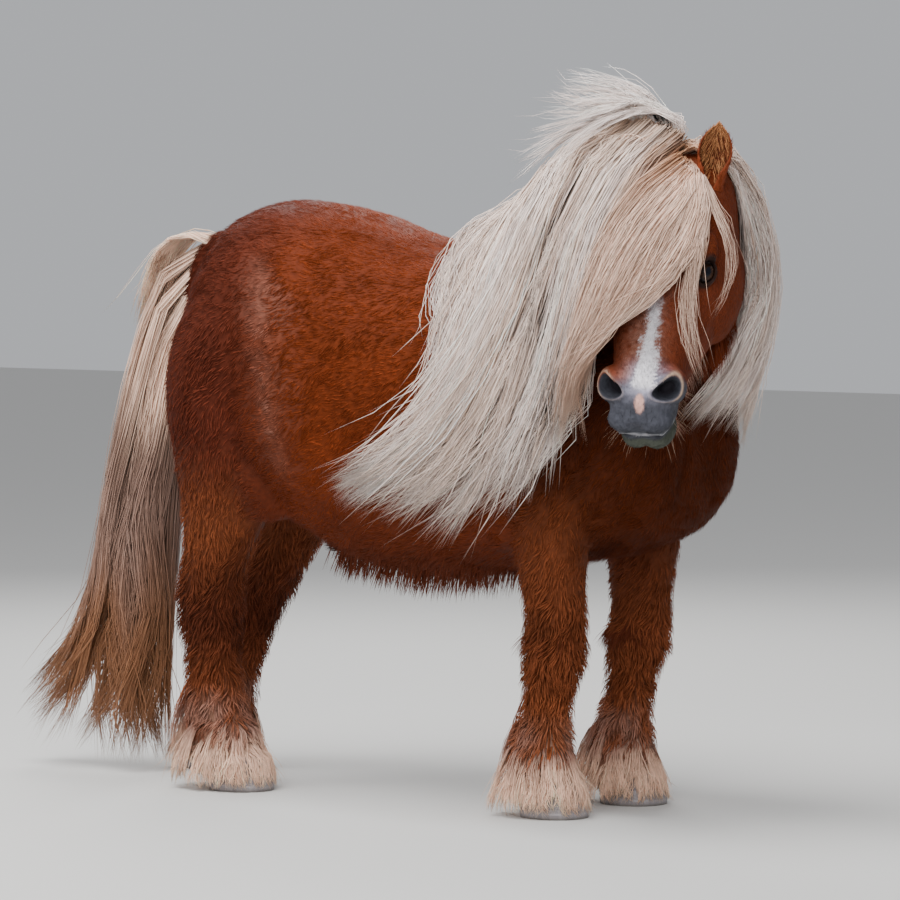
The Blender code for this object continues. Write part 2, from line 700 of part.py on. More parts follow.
def head_region(frame, grow=0.0):
    planes = [
        (on_head(frame, (0, 0.035, -0.060)), way_on_head(frame, (-0.50, -0.75, -0.45))),
        (on_head(frame, (0, 0, -0.185)), way_on_head(frame, (0, 0, -1))),
        (on_head(frame, (0.118, 0, 0)), way_on_head(frame, (1, 0, 0))),
        (on_head(frame, (-0.118, 0, 0)), way_on_head(frame, (-1, 0, 0))),
        (on_head(frame, (0, 0.6, 0)), way_on_head(frame, (0, 1, 0))),
    ]
    return region(planes, grow)


def ear_region(frame, side, grow=0.0):
    own = ear_frame(frame, side)
    turn = own.to_3x3()
    planes = [(own @ Vector((0, 0, EAR_CUT)), turn @ Vector((0, 0, -1)))]
    for x, y in ((1, 0), (-1, 0), (0, 1), (0, -1)):
        way = turn @ Vector((x, y, 0))
        planes.append((own.translation + way * 0.030, way))
    return region(planes, grow)


def neck_region(grow=0.0):
    return region([((0, 0.060, 0.950), (0, 0.596, -0.803))], grow)


def tail_region(grow=0.0):
    planes = [
        ((0, 0.744, 0.9), (0, -1, 0)),
        ((0, 0.75, 0.55), (0, 0, -1)),
        ((0.08, 0.75, 0.9), (1, 0, 0)),
        ((-0.08, 0.75, 0.9), (-1, 0, 0)),
    ]
    return region(planes, grow)


def without(body, spaces):
    for space in spaces:
        boolean(body, space, "DIFFERENCE")
    return largest(body)


def within(body, space):
    return largest(boolean(body, space, "INTERSECT"))


def carve_head(head, frame):
    """The sockets of the eyes with their lids, the nostrils and the mouth."""
    tree = tree_of([head])
    for side in (1, -1):
        eye = on_head(frame, EYE_PLACE, side)
        look = way_on_head(frame, LOOK_WAY, side)
        along = way_on_head(frame, (0, 1, 0))
        turn = Matrix.Translation(eye) @ facing(look, along)
        wide, high = LID_OPENING
        opening = blob("opening", (0, 0, LID_RADIUS), (wide, high, 0.016), turn, 16)
        cavity = blob("cavity", eye, [EYE_RADIUS + EYE_GAP] * 3, None, 14)
        boolean(head, boolean(cavity, opening, "UNION"), "DIFFERENCE")
        inside = on_head(frame, NOSTRIL_PLACE, side)
        way = way_on_head(frame, NOSTRIL_WAY, side)
        place = tree.ray_cast(inside + way * 0.2, -way)[0]
        long_way = way_on_head(frame, NOSTRIL_LONG_WAY, side)
        turn = Matrix.Translation(place) @ facing(way, long_way)
        hole = blob("nostril", (0, 0, -0.002), NOSTRIL_RADII, turn, 14)
        boolean(head, hole, "DIFFERENCE")
    line = [on_head(frame, p) for p in MOUTH_LINE]
    line += [on_head(frame, p, -1) for p in reversed(MOUTH_LINE[:-1])]
    middle = on_head(frame, (0, 0.36, -0.050))
    rings = []
    path = smooth_rows([tuple(p) for p in line], 15)
    for point in path:
        point = Vector(point)
        out = (point - middle).normalized()
        skin = tree.ray_cast(middle + out * 0.2, -out)[0]
        rings.append((skin, out))
    groove = []
    up = way_on_head(frame, (0, 0, 1))
    for skin, out in rings:
        thin = up * 0.0028
        groove.append([skin - out * 0.007, skin + thin, skin + out * 0.010, skin - thin])
    boolean(head, skin_rings("mouth", groove), "DIFFERENCE")
    return head


def tree_of(objects):
    """A search tree over the surfaces of the objects."""
    points, faces = [], []
    for body in objects:
        start = len(points)
        points += [v.co for v in body.data.vertices]
        faces += [[start + i for i in p.vertices] for p in body.data.polygons]
    return BVHTree.FromPolygons(points, faces)


def renamed(body, name):
    body.name = name
    body.data.name = name
    return body


def flesh_nodes(frame):
    """The flesh as its named pieces, and the two skins they are cut from."""
    body = fuse("body", flesh_parts(frame), 0.006, 10)
    head_skin = fuse("head_skin", head_parts(frame), 0.0035, 4)
    fine = thinned(body, "fine", LIMB_KEPT)
    coarse = thinned(body, "coarse", TORSO_KEPT)
    face = thinned(head_skin, "face", HEAD_KEPT)
    nodes = {}
    for side, word in ((1, "left"), (-1, "right")):
        ear = within(copy_of(face, "ear_" + word), ear_region(frame, side))
        nodes["ear_" + word] = largest(boolean(ear, ear_cup(frame, side), "DIFFERENCE"))
        eye = on_head(frame, EYE_PLACE, side)
        nodes["eye_" + word] = blob("eye_" + word, eye, [EYE_RADIUS] * 3, None, 14)
    ears = [ear_region(frame, side, CUT_GAP) for side in (1, -1)]
    head = without(within(copy_of(face, "head"), head_region(frame)), ears)
    nodes["head"] = largest(carve_head(head, frame))
    neck = without(copy_of(coarse, "neck"), [head_region(frame, CUT_GAP)])
    nodes["neck"] = within(neck, neck_region())
    for name in SET_BACK:
        leg = within(copy_of(fine, "leg_" + name), leg_region(name))
        nodes["leg_" + name] = leg
        nodes["hoof_" + name] = hoof(name)
    nodes["tail"] = within(copy_of(fine, "tail"), tail_region())
    spaces = [head_region(frame, CUT_GAP), neck_region(CUT_GAP), tail_region(CUT_GAP)]
    spaces += [leg_region(name, CUT_GAP) for name in SET_BACK]
    nodes["torso"] = without(copy_of(coarse, "torso"), spaces)
    for done in (fine, coarse, face):
        bpy.data.objects.remove(done)
    return nodes, body, head_skin


def between(guides, share):
    """The line a share of the way across a row of guides."""
    place = min(max(share, 0.0), 1.0) * (len(guides) - 1)
    first = min(int(place), len(guides) - 2)
    part = place - first
    low = smooth_rows(guides[first], 12)
    high = smooth_rows(guides[first + 1], 12)
    return low * (1 - part) + high * part


def resampled(line, count):
    """A line read at count places evenly along its length."""
    steps = np.linalg.norm(np.diff(line, axis=0), axis=1)
    at = np.concatenate([[0.0], np.cumsum(steps)])
    wanted = np.linspace(0.0, at[-1], count)
    return np.stack([np.interp(wanted, at, line[:, i]) for i in range(3)], axis=1)


def kept_off(line, tree, clear, floor=0.012):
    """The line with its places moved out until they are clear of the surfaces."""
    line = line.copy()
    for _ in range(3):
        for i in range(1, len(line)):
            point = Vector(line[i])
            near, out, _, far = tree.find_nearest(point)
            depth = (point - near).dot(out)
            room = clear * min(1.0, i / 1.5)
            if depth < room and far < 0.25:
                line[i] = near + out * room
            line[i][2] = max(line[i][2], floor)
    return line


def lock(line, out_ways, width, thick):
    """A flat lock that tapers to a point: a row of three-sided rings."""
    count = len(line)
    ways = np.gradient(line, axis=0)
    rings = []
    for i in range(count - 1):
        t = i / (count - 1)
        way = Vector(ways[i]).normalized()
        side = way.cross(Vector(out_ways[i])).normalized()
        out = side.cross(way)
        spread = width * (0.55 + 0.45 * min(t / 0.3, 1.0)) * (1 - t**2.4) ** 0.8
        deep = thick * (1 - 0.75 * t)
        middle = Vector(line[i]) - out * deep * 0.4
        half, rise = side * spread * 0.5, out * deep
        rings.append([middle + half, middle + rise, middle - half])
    mesh = bmesh.new()
    loops = [[mesh.verts.new(point) for point in ring] for ring in rings]
    end = mesh.verts.new(line[-1])
    for first, second in zip(loops, loops[1:]):
        for i in range(3):
            j = (i + 1) % 3
            mesh.faces.new((first[i], first[j], second[j], second[i]))
    for i in range(3):
        mesh.faces.new((loops[-1][i], loops[-1][(i + 1) % 3], end))
    mesh.faces.new(loops[0])
    bmesh.ops.triangulate(mesh, faces=mesh.faces[:])
    return object_from(mesh, "lock")


def outward(line, tree):
    """For each place of a line, the way out of the nearest surface."""
    ways = []
    for point in line:
        near, out, _, _ = tree.find_nearest(Vector(point))
        ways.append(out)
    return ways


def rooted(line, tree, depth):
    """The line with its root sunk below the surface."""
    near, out, _, _ = tree.find_nearest(Vector(line[0]))
    line[0] = near - out * depth
    return line


def swayed(line, out_ways, rng):
    """The line with a slow wave to the side that grows towards the tip."""
    count = len(line)
    ways = np.gradient(line, axis=0)
    start, turns = rng.uniform(0, 2 * math.pi), rng.uniform(0.8, 1.3)
    for i in range(1, count):
        t = i / (count - 1)
        side = Vector(ways[i]).cross(Vector(out_ways[i])).normalized()
        line[i] += SWAY * t * math.sin(start + 2 * math.pi * turns * t) * np.array(side)
    return line


def shortened(line, share):
    """The first share of a line."""
    cut = 1 + share * (len(line) - 1)
    at = np.linspace(0, cut - 1, len(line))
    whole = np.arange(len(line))
    return np.stack([np.interp(at, whole, line[:, i]) for i in range(3)], axis=1)


def guided_locks(form, guides, tree, rng, depth=0.012):
    """Locks read off between guides, in layers from the skin out to the guides."""
    count, layers, width, thick, clear, rings = LOCKS[form]
    made = []
    for layer in range(layers):
        lift = (layer + 1) / layers
        number = count - 2 * (layers - 1 - layer)
        for i in range(number):
            share = (i + 0.5) / number + rng.uniform(-0.2, 0.2) / number
            line = resampled(between(guides, share), 12)
            line = resampled(shortened(line, 1 - LENGTH_SPREAD * rng.random()), rings)
            for k in range(1, rings):
                near = np.array(tree.find_nearest(Vector(line[k]))[0])
                line[k] = near + (line[k] - near) * (0.35 + 0.65 * lift)
            line = swayed(line, outward(line, tree), rng)
            line = kept_off(rooted(line, tree, depth), tree, clear + thick * 0.5)
            made.append(lock(line, outward(line, tree), width, thick))
    return made


def tail_locks(tree, rng):
    """Locks around the tail, from its outer side to its inner side and back."""
    count, layers, width, thick, clear, rings = LOCKS["tail"]
    made = []
    for layer in range(layers):
        size = 0.45 + 0.55 * (layer + 1) / layers
        for i in range(count):
            turn = 2 * math.pi * (i + 0.5 * layer + rng.uniform(-0.2, 0.2)) / count
            share = 0.5 - 0.5 * size * math.cos(turn)
            line = resampled(between(TAIL, share), 14)
            line = resampled(shortened(line, 1 - LENGTH_SPREAD * rng.random()), rings)
            t = np.linspace(0.0, 1.0, rings)
            full = 0.35 + 0.65 * np.minimum(t / 0.3, 1.0)
            line[:, 0] += size * TAIL_HALF_WIDTH * math.sin(turn) * full
            out = Vector((math.sin(turn), math.cos(turn), 0.2))
            line = swayed(line, [out] * rings, rng)
            line = kept_off(rooted(line, tree, 0.012), tree, clear + thick * 0.5)
            made.append(lock(line, [out] * rings, width, thick))
    return made


def joined(body, locks):
    """The node with its locks grown into it, as one closed body."""
    group = bpy.data.collections.new("locks")
    bpy.context.scene.collection.children.link(group)
    for made in locks:
        bpy.context.scene.collection.objects.unlink(made)
        group.objects.link(made)
    grow = body.modifiers.new("grow", "BOOLEAN")
    grow.operation = "UNION"
    grow.operand_type = "COLLECTION"
    grow.collection = group
    grow.solver = "MANIFOLD"
    applied(body)
    for made in locks:
        bpy.data.objects.remove(made)
    bpy.data.collections.remove(group)
    return largest(body)


def feather_locks(name, tree, rng):
    """Locks that hang around the fetlock and over the hoof, longest behind."""
    count, layers, width, thick, clear, rings = LOCKS["feather"]
    middle = foot_middle(name) + Vector((0, HOOF_FORWARD, 0))
    made = []
    for layer in range(layers):
        for i in range(count):
            turn = 2 * math.pi * (i + 0.5 * layer + rng.uniform(-0.15, 0.15)) / count
            way = Vector((math.cos(turn), math.sin(turn), 0))
            behind = max(way.y, 0.0)
            top = FEATHER_TOP + FEATHER_STEP * layer + 0.020 * behind
            end = FEATHER_END + FEATHER_STEP * layer + 0.010 * rng.random()
            start = tree.ray_cast(middle + way * 0.3 + Vector((0, 0, top)), -way)[0]
            reach = FEATHER_REACH + 0.014 * behind + 0.004 * layer
            line = [start - way * 0.010]
            for k in range(1, rings):
                t = k / (rings - 1)
                place = start + way * (reach * math.sin(t * math.pi / 2))
                place.z = top + (end - top) * t
                line.append(place)
            line = np.array([tuple(place) for place in line])
            line = kept_off(line, tree, clear + thick * 0.5)
            made.append(lock(line, [way] * rings, width, thick))
    return made


def beard_locks(frame, tree, rng):
    """Short locks under the jaw."""
    count, layers, width, thick, clear, rings = LOCKS["beard"]
    made = []
    for i in range(count):
        along = 0.17 + 0.20 * (i + 0.5) / count
        aim = on_head(frame, (rng.uniform(-0.012, 0.012), along, -0.30))
        up = way_on_head(frame, (0, 0, 1))
        start = tree.ray_cast(aim, up)[0]
        line = [start + up * 0.010]
        for k in range(1, rings):
            t = k / (rings - 1)
            line.append(start - up * 0.030 * t + Vector((0, 0, -0.040 * t)))
        line = np.array([tuple(p) for p in line])
        out = [way_on_head(frame, (1, 0, 0))] * rings
        made.append(lock(line, out, width, thick))
    return made


def breast_locks(tree, rng):
    """Shaggy hair under the breast, between and behind the forelegs."""
    count, layers, width, thick, clear, rings = LOCKS["breast"]
    made = []
    for i in range(count):
        x = rng.uniform(-0.03, 0.03)
        y = -0.15 + 0.30 * (i + 0.5) / count
        start = tree.ray_cast(Vector((x, y, 0.1)), Vector((0, 0, 1)))[0]
        line = [start + Vector((0, -0.004, 0.012))]
        for k in range(1, rings):
            t = k / (rings - 1)
            line.append(start + Vector((0, 0.020 * t * t, -0.040 * t)))
        line = np.array([tuple(p) for p in line])
        made.append(lock(line, [Vector((0, 1, 0))] * rings, width, thick))
    return made


def grown(body, reach):
    """A copy a little larger on every side. A rounded piece becomes its hull."""
    made = copy_of(body, "grown")
    mesh = bmesh.new()
    mesh.from_mesh(made.data)
    if body.name.startswith(("ear", "eye", "hoof", "shared")):
        hull = bmesh.ops.convex_hull(mesh, input=mesh.verts[:])
        inner = hull["geom_interior"] + hull["geom_unused"]
        inside = [part for part in inner if isinstance(part, bmesh.types.BMVert)]
        bmesh.ops.delete(mesh, geom=inside, context="VERTS")
        kept = {part for part in hull["geom"] if isinstance(part, bmesh.types.BMFace)}
        bmesh.ops.delete(mesh, geom=[f for f in mesh.faces if f not in kept], context="FACES")
        bmesh.ops.recalc_face_normals(mesh, faces=mesh.faces)
    mesh.normal_update()
    for vert in mesh.verts:
        vert.co += vert.normal * reach * min(vert.calc_shell_factor(), 2.0)
    mesh.to_mesh(made.data)
    mesh.free()
    return made


def parted(body):
    """Where the surface touches itself, each side draws back towards its own neighbours."""
    surface = bmesh.new()
    surface.from_mesh(body.data)
    places = {}
    for vert in surface.verts:
        key = tuple(round(part, 6) for part in vert.co)
        places.setdefault(key, []).append(vert)
    moves = []
    for verts in places.values():
        if len(verts) < 2:
            continue
        for vert in verts:
            others = [edge.other_vert(vert).co for edge in vert.link_edges]
            way = sum(others, Vector()) / len(others) - vert.co
            moves.append((vert, way.normalized() * min(TOUCH_STEP, way.length / 2)))
    for vert, move in moves:
        vert.co += move
    surface.to_mesh(body.data)
    surface.free()
    return body


def grow_hair(nodes, body, head_skin, frame):
    """The hair forms, each grown into its node and kept clear of the others."""
    rng = np.random.default_rng(SEED)
    flesh = tree_of([body, head_skin])
    neck_locks = guided_locks("mane_right", MANE_RIGHT, flesh, rng)
    neck_locks += guided_locks("mane_stream", MANE_STREAM, flesh, rng)
    neck_locks += guided_locks("mane_left", MANE_LEFT, flesh, rng)
    nodes["neck"] = joined(nodes["neck"], neck_locks)
    over = tree_of([body, head_skin, nodes["neck"]])
    head_locks = guided_locks("forelock", FORELOCK, over, rng)
    head_locks += guided_locks("face_strands", FACE_STRANDS, over, rng)
    head_locks += beard_locks(frame, flesh, rng)
    nodes["head"] = joined(nodes["head"], head_locks)
    long_locks = tail_locks(flesh, rng)
    long_locks += guided_locks("tail_fan", TAIL_FAN, flesh, rng)
    nodes["tail"] = joined(nodes["tail"], long_locks)
    nodes["torso"] = joined(nodes["torso"], breast_locks(flesh, rng))
    for name in SET_BACK:
        leg = nodes["leg_" + name]
        foot = tree_of([leg, nodes["hoof_" + name]])
        nodes["leg_" + name] = joined(leg, feather_locks(name, foot, rng))
    for name, node in nodes.items():
        renamed(node, name)
    clear_pairs = [
        ("neck", ("head", "ear_left", "ear_right", "torso")),
        ("head", ("ear_left", "ear_right", "eye_left", "eye_right", "torso")),
        ("tail", ("torso", "leg_hind_left", "leg_hind_right")),
        ("torso", ("leg_front_left", "leg_front_right")),
    ]
    clear_pairs += [("leg_" + name, ("hoof_" + name,)) for name in SET_BACK]
    for name, others in clear_pairs:
        for other in others:
            # The exact solver loses parts of the head with its locks.
            solver = "MANIFOLD" if "head" in (name, other) else "EXACT"
            space = grown(nodes[other], HAIR_CLEAR)
            boolean(nodes[name], space, "DIFFERENCE", solver)
        nodes[name] = parted(largest(nodes[name]))
    # What the pass left between the mane and the forelock is cut from the head.
    shared = boolean(copy_of(nodes["neck"], "shared"), copy_of(nodes["head"], "tool"),
                     "INTERSECT", "MANIFOLD")
    if shared.data.polygons:
        boolean(nodes["head"], grown(shared, HAIR_CLEAR), "DIFFERENCE", "MANIFOLD")
        nodes["head"] = parted(largest(nodes["head"]))
    bpy.data.objects.remove(shared)


def coated(body, colour, roughness):
    """The node with its own material, shaded smooth but for its sharp edges."""
    material = bpy.data.materials.new(body.name)
    material.use_nodes = True
    shader = material.node_tree.nodes["Principled BSDF"]
    shader.inputs["Base Color"].default_value = (*colour, 1.0)
    shader.inputs["Roughness"].default_value = roughness
    shader.inputs["Metallic"].default_value = 0.0
    body.data.materials.clear()
    body.data.materials.append(material)
    body.data.shade_smooth()
    body.data.set_sharp_from_angle(angle=math.radians(50))
    return body


def stood_over_origin(body):
    """The node moved so that the whole pony's middle stands over the origin."""
    body.data.transform(Matrix.Translation((-MIDDLE[0], -MIDDLE[1], 0.0)))
    return body


def build():
    clear_scene()
    frame = head_frame()
    nodes, body, head_skin = flesh_nodes(frame)
    grow_hair(nodes, body, head_skin, frame)
    bpy.data.objects.remove(body)
    bpy.data.objects.remove(head_skin)
    for name, node in nodes.items():
        kind = name.split("_")[0]
        coated(stood_over_origin(node), *FINISHES[kind])


build()
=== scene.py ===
# %% [markdown]
# # A Shetland pony in its long coat
# The solids give the true outline of the pony, but a real pony is one unbroken
# skin under hair. So this lesson grows one skin a few millimetres inside the
# solids, lays short tufts over it along the lie of the coat, and hangs the long
# hair of the mane, forelock, tail and feet from it, strand by strand. Everything
# is worked out as arrays of points and put into meshes, so it can be exported.

import bmesh
import bpy
import numpy as np
from mathutils import Matrix, Vector
from mathutils.bvhtree import BVHTree


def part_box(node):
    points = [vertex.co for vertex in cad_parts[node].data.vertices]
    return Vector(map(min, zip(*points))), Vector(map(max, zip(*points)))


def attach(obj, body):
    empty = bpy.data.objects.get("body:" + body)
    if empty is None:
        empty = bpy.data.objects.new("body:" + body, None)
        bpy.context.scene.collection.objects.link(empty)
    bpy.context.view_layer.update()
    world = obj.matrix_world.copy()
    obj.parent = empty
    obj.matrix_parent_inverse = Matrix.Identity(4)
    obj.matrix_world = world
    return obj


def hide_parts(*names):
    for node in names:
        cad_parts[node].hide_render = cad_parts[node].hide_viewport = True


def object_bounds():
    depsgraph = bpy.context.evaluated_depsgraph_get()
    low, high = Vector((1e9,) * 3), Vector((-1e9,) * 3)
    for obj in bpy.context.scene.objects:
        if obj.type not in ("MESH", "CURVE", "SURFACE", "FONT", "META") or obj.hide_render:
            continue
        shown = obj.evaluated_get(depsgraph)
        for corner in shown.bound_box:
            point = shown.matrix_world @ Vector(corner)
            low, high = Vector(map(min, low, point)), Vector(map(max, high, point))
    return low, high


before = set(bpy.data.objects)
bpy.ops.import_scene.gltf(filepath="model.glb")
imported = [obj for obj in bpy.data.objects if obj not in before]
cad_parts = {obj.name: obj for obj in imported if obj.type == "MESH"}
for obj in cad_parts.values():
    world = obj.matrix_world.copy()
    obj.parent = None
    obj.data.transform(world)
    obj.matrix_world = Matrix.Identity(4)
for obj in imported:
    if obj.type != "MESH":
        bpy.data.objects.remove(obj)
CAD_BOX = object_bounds()
rng = np.random.default_rng(11)
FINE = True
# How far above the ground the skin, single hairs and locks of hair stay.
SKIN_FLOOR, HAIR_FLOOR, LOCK_FLOOR = 0.003, 0.004, 0.005
# No painted colour is brighter than this.
BRIGHTEST = 0.95
print("solids from", [round(v, 3) for v in CAD_BOX[0]], "to", [round(v, 3) for v in CAD_BOX[1]])

# %% [markdown]
# ## Where the pony stands
# The tables below are written in the pony's own coordinates: it faces -Y, its
# left side is +X and the ground is z = 0. The solids were moved so that their
# middle stands over the origin. One hoof tells how far they were moved, and
# every finished piece is moved by the same step.

# %% Find the shift from one hoof
HOOF_PLACE = np.array((-0.116, -0.0315))
hoof_low, hoof_high = (np.array(corner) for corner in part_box("hoof_front_right"))
SHIFT = np.append((hoof_low + hoof_high)[:2] / 2 - HOOF_PLACE, 0.0)
print("the pony is moved by", np.round(SHIFT, 4))

# %% [markdown]
# ## The camera, the floor and the light
# The photograph looks slightly down on the pony from its front right. The
# distance and the long lens were worked out from its feet and its height. The
# day in the photograph is overcast, so one broad soft light hangs overhead and a
# weaker one fills in from the camera's side.

# %% Camera
CAMERA_PLACE = np.array((-7.188, -5.116, 1.050))
CAMERA_AIM = np.array((0.016, 0.279, 0.577))
CAMERA_LENS = 217.0

camera_data = bpy.data.cameras.new("camera")
camera_data.lens = CAMERA_LENS
camera_data.sensor_width = 36.0
camera_data.clip_end = 100.0
camera = bpy.data.objects.new("camera", camera_data)
bpy.context.scene.collection.objects.link(camera)
camera.location = Vector(CAMERA_PLACE + SHIFT)
camera.rotation_mode = "QUATERNION"
camera.rotation_quaternion = Vector(CAMERA_AIM - CAMERA_PLACE).to_track_quat("-Z", "Y")
bpy.context.scene.camera = camera


# %% Floor and lights
def plain_floor(size=14.0):
    """One flat square on the ground."""
    mesh = bpy.data.meshes.new("floor")
    corners = [(-size, -size, 0), (size, -size, 0), (size, size, 0), (-size, size, 0)]
    mesh.from_pydata(corners, [], [(0, 1, 2, 3)])
    floor = bpy.data.objects.new("floor", mesh)
    bpy.context.scene.collection.objects.link(floor)
    paint = bpy.data.materials.new("floor_paint")
    paint.use_nodes = True
    shader = paint.node_tree.nodes["Principled BSDF"]
    shader.inputs["Base Color"].default_value = (0.62, 0.61, 0.59, 1.0)
    shader.inputs["Roughness"].default_value = 0.9
    mesh.materials.append(paint)
    return floor


def soft_light(name, place, aim, size, power):
    """A square lamp at a place, turned to face its aim."""
    data = bpy.data.lights.new(name, "AREA")
    data.size = size
    data.energy = power
    lamp = bpy.data.objects.new(name, data)
    bpy.context.scene.collection.objects.link(lamp)
    lamp.location = place
    lamp.rotation_mode = "QUATERNION"
    lamp.rotation_quaternion = (Vector(aim) - Vector(place)).to_track_quat("-Z", "Y")
    return lamp


plain_floor()
# Each lamp: its name, its place, the height it is aimed at, its size and its power.
LAMPS = [
    ("sky", (-1.2, 0.2, 3.6), 0.6, 2.6, 200.0), ("fill", (-4.6, -2.6, 2.4), 0.6, 2.5, 140.0),
    ("rim", (2.6, 2.2, 2.8), 0.7, 2.0, 90.0)]
for name, place, aim, size, power in LAMPS:
    soft_light(name, place, (0.0, 0.0, aim), size, power)
world = bpy.data.worlds.new("studio")
bpy.context.scene.world = world
world.use_nodes = True
world.node_tree.nodes["Background"].inputs["Color"].default_value = (0.90, 0.92, 0.96, 1.0)
world.node_tree.nodes["Background"].inputs["Strength"].default_value = 0.55

# %% [markdown]
# ## Reading a shape off a short table
# A body is easiest to describe by a few cross sections: where each one is, how
# wide and how deep. A smooth curve through those rows gives as many rings as
# the surface needs, so the table stays short enough to correct by hand.


# %% Curves, rings and meshes
def read_along(rows, count):
    """Rows of a table at count even steps, on a cubic curve through the rows.

    Between two rows the value is the Hermite blend of both rows and their slopes,
    with distance along the first three columns as the parameter.
    """
    rows = np.array(rows, float)
    steps = np.linalg.norm(np.diff(rows[:, :3], axis=0), axis=1)
    at = np.concatenate([[0.0], np.cumsum(steps)])
    slopes = np.gradient(rows, at, axis=0)
    wanted = np.linspace(0.0, at[-1], count)
    cell = np.clip(np.searchsorted(at, wanted) - 1, 0, len(at) - 2)
    width = (at[cell + 1] - at[cell])[:, None]
    t = (wanted - at[cell])[:, None] / width
    return (
        (2 * t**3 - 3 * t**2 + 1) * rows[cell]
        + (t**3 - 2 * t**2 + t) * width * slopes[cell]
        + (3 * t**2 - 2 * t**3) * rows[cell + 1]
        + (t**3 - t**2) * width * slopes[cell + 1]
    )


def unit(ways):
    """Each vector divided by its own length."""
    return ways / np.maximum(np.linalg.norm(ways, axis=-1, keepdims=True), 1e-9)


def rings(middles, across, up, half, above, below, square, sides=48):
    """A grid of rings: middle + across * half * cos(a) + up * depth * sin(a).

    The powers 2 / square turn the circle into a rounder or squarer oval, and the
    depth is one value above the middle and another below it.
    """
    angle = np.linspace(0.0, 2 * np.pi, sides, endpoint=False)
    cos, sin = np.cos(angle), np.sin(angle)
    power = 2.0 / np.asarray(square, float)[:, None]
    x = np.sign(cos) * np.abs(cos) ** power * half[:, None]
    depth = np.where(sin > 0, above[:, None], below[:, None])
    z = np.sign(sin) * np.abs(sin) ** power * depth
    return middles[:, None] + x[..., None] * across[:, None] + z[..., None] * up[:, None]


def loft_faces(count, sides, start=0):
    """The quads between each ring and the next, and the fans that close both ends."""
    row, column = np.meshgrid(np.arange(count - 1), np.arange(sides), indexing="ij")
    after = (column + 1) % sides
    quads = np.stack([row * sides + column, row * sides + after,
                      (row + 1) * sides + after, (row + 1) * sides + column], axis=-1)
    turn = np.arange(sides)
    last = (count - 1) * sides
    foot = np.stack([turn, (turn + 1) % sides, np.full(sides, count * sides)], axis=1)
    top = np.stack([last + turn, last + (turn + 1) % sides,
                    np.full(sides, count * sides + 1)], axis=1)
    quads = quads.reshape(-1, 4)
    triangles = np.concatenate([quads[:, [0, 1, 2]], quads[:, [0, 2, 3]], foot[:, ::-1], top])
    return triangles + start


def closed_loft(grid):
    """Points and triangles of a grid of rings with a point in the middle of each end."""
    count, sides, _ = grid.shape
    ends = np.stack([grid[0].mean(axis=0), grid[-1].mean(axis=0)])
    return np.concatenate([grid.reshape(-1, 3), ends]), loft_faces(count, sides)


def add_mesh(name, points, triangles):
    """A new object whose mesh holds the points and the triangles, filled as whole arrays."""
    mesh = bpy.data.meshes.new(name)
    mesh.vertices.add(len(points))
    mesh.vertices.foreach_set("co", np.asarray(points, np.float32).ravel())
    mesh.loops.add(triangles.size)
    mesh.loops.foreach_set("vertex_index", np.asarray(triangles, np.int32).ravel())
    mesh.polygons.add(len(triangles))
    mesh.polygons.foreach_set("loop_start", np.arange(0, triangles.size, 3, dtype=np.int32))
    mesh.update(calc_edges=True)
    made = bpy.data.objects.new(name, mesh)
    bpy.context.scene.collection.objects.link(made)
    return made


def facing_out(made):
    """The object's mesh with its normals worked out again, to point outwards."""
    mesh = bmesh.new()
    mesh.from_mesh(made.data)
    bmesh.ops.recalc_face_normals(mesh, faces=mesh.faces)
    mesh.to_mesh(made.data)
    mesh.free()
    return made


def three_each(values, word):
    """A property of three numbers, read from every item of a collection as an array."""
    flat = np.zeros(len(values) * 3, np.float32)
    values.foreach_get(word, flat)
    return flat.reshape(-1, 3).astype(float)


def points_of(made):
    """The vertices of an object's mesh as an array."""
    return three_each(made.data.vertices, "co")


def normals_of(made):
    """The vertex normals of an object's mesh as an array."""
    return three_each(made.data.vertex_normals, "vector")


def move_points(made, points):
    """The mesh with its vertices at new places."""
    made.data.vertices.foreach_set("co", np.asarray(points, np.float32).ravel())
    made.data.update()


def painted(made, colours):
    """The mesh with one colour for each vertex, kept as the attribute tone."""
    layer = made.data.color_attributes.new("tone", "FLOAT_COLOR", "POINT")
    rgba = np.concatenate([colours, np.ones((len(colours), 1))], axis=1)
    layer.data.foreach_set("color", rgba.astype(np.float32).ravel())


def finished(made, material, slot, *nodes, smooth=True):
    """The piece in its material, moved over the frame, riding on the one body."""
    made.data.transform(Matrix.Translation(SHIFT))
    made.data.materials.clear()
    made.data.materials.append(material)
    if smooth:
        made.data.shade_smooth()
    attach(made, "root")
    if nodes:
        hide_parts(*nodes)
    triangles = sum(len(face.vertices) - 2 for face in made.data.polygons)
    print(f"{made.name}: {triangles} triangles")
    return made


def hair_finished(pieces, material, slot):
    """Pieces of hair in their material, each blade with flat faces."""
    for piece in pieces:
        finished(piece, material, slot, smooth=False)


# %% [markdown]
# ## The flesh in tables
# A horse's body is a few tapering tubes: trunk, neck, head, tail and four legs.
# These are the sections that the solids are made from, so the skin follows the
# solids everywhere and can then be set in by the coat's depth.

# %% The trunk, neck, tail and legs
def thousandths(text):
    """Rows of numbers that are written in thousandths, one row a line."""
    return [tuple(float(value) / 1000 for value in row.split()) for row in text.strip().split("\n")]


# All in millimetres, and the squareness in thousandths too. The trunk from breast to
# buttock: how far back, top, bottom, half width, the height where it is widest,
# squareness.
TRUNK = thousandths("""
    -240 700 560 60 630 2000
    -222 780 490 128 630 2100
    -165 850 440 178 620 2200
    -60 915 412 204 610 2200
    50 945 396 225 600 2200
    180 925 376 252 610 2200
    300 935 372 268 620 2200
    420 972 398 266 640 2200
    520 990 445 252 680 2300
    600 992 490 238 720 2300
    665 965 540 205 740 2300
    712 915 600 150 750 2200
    736 850 660 70 750 2000""")
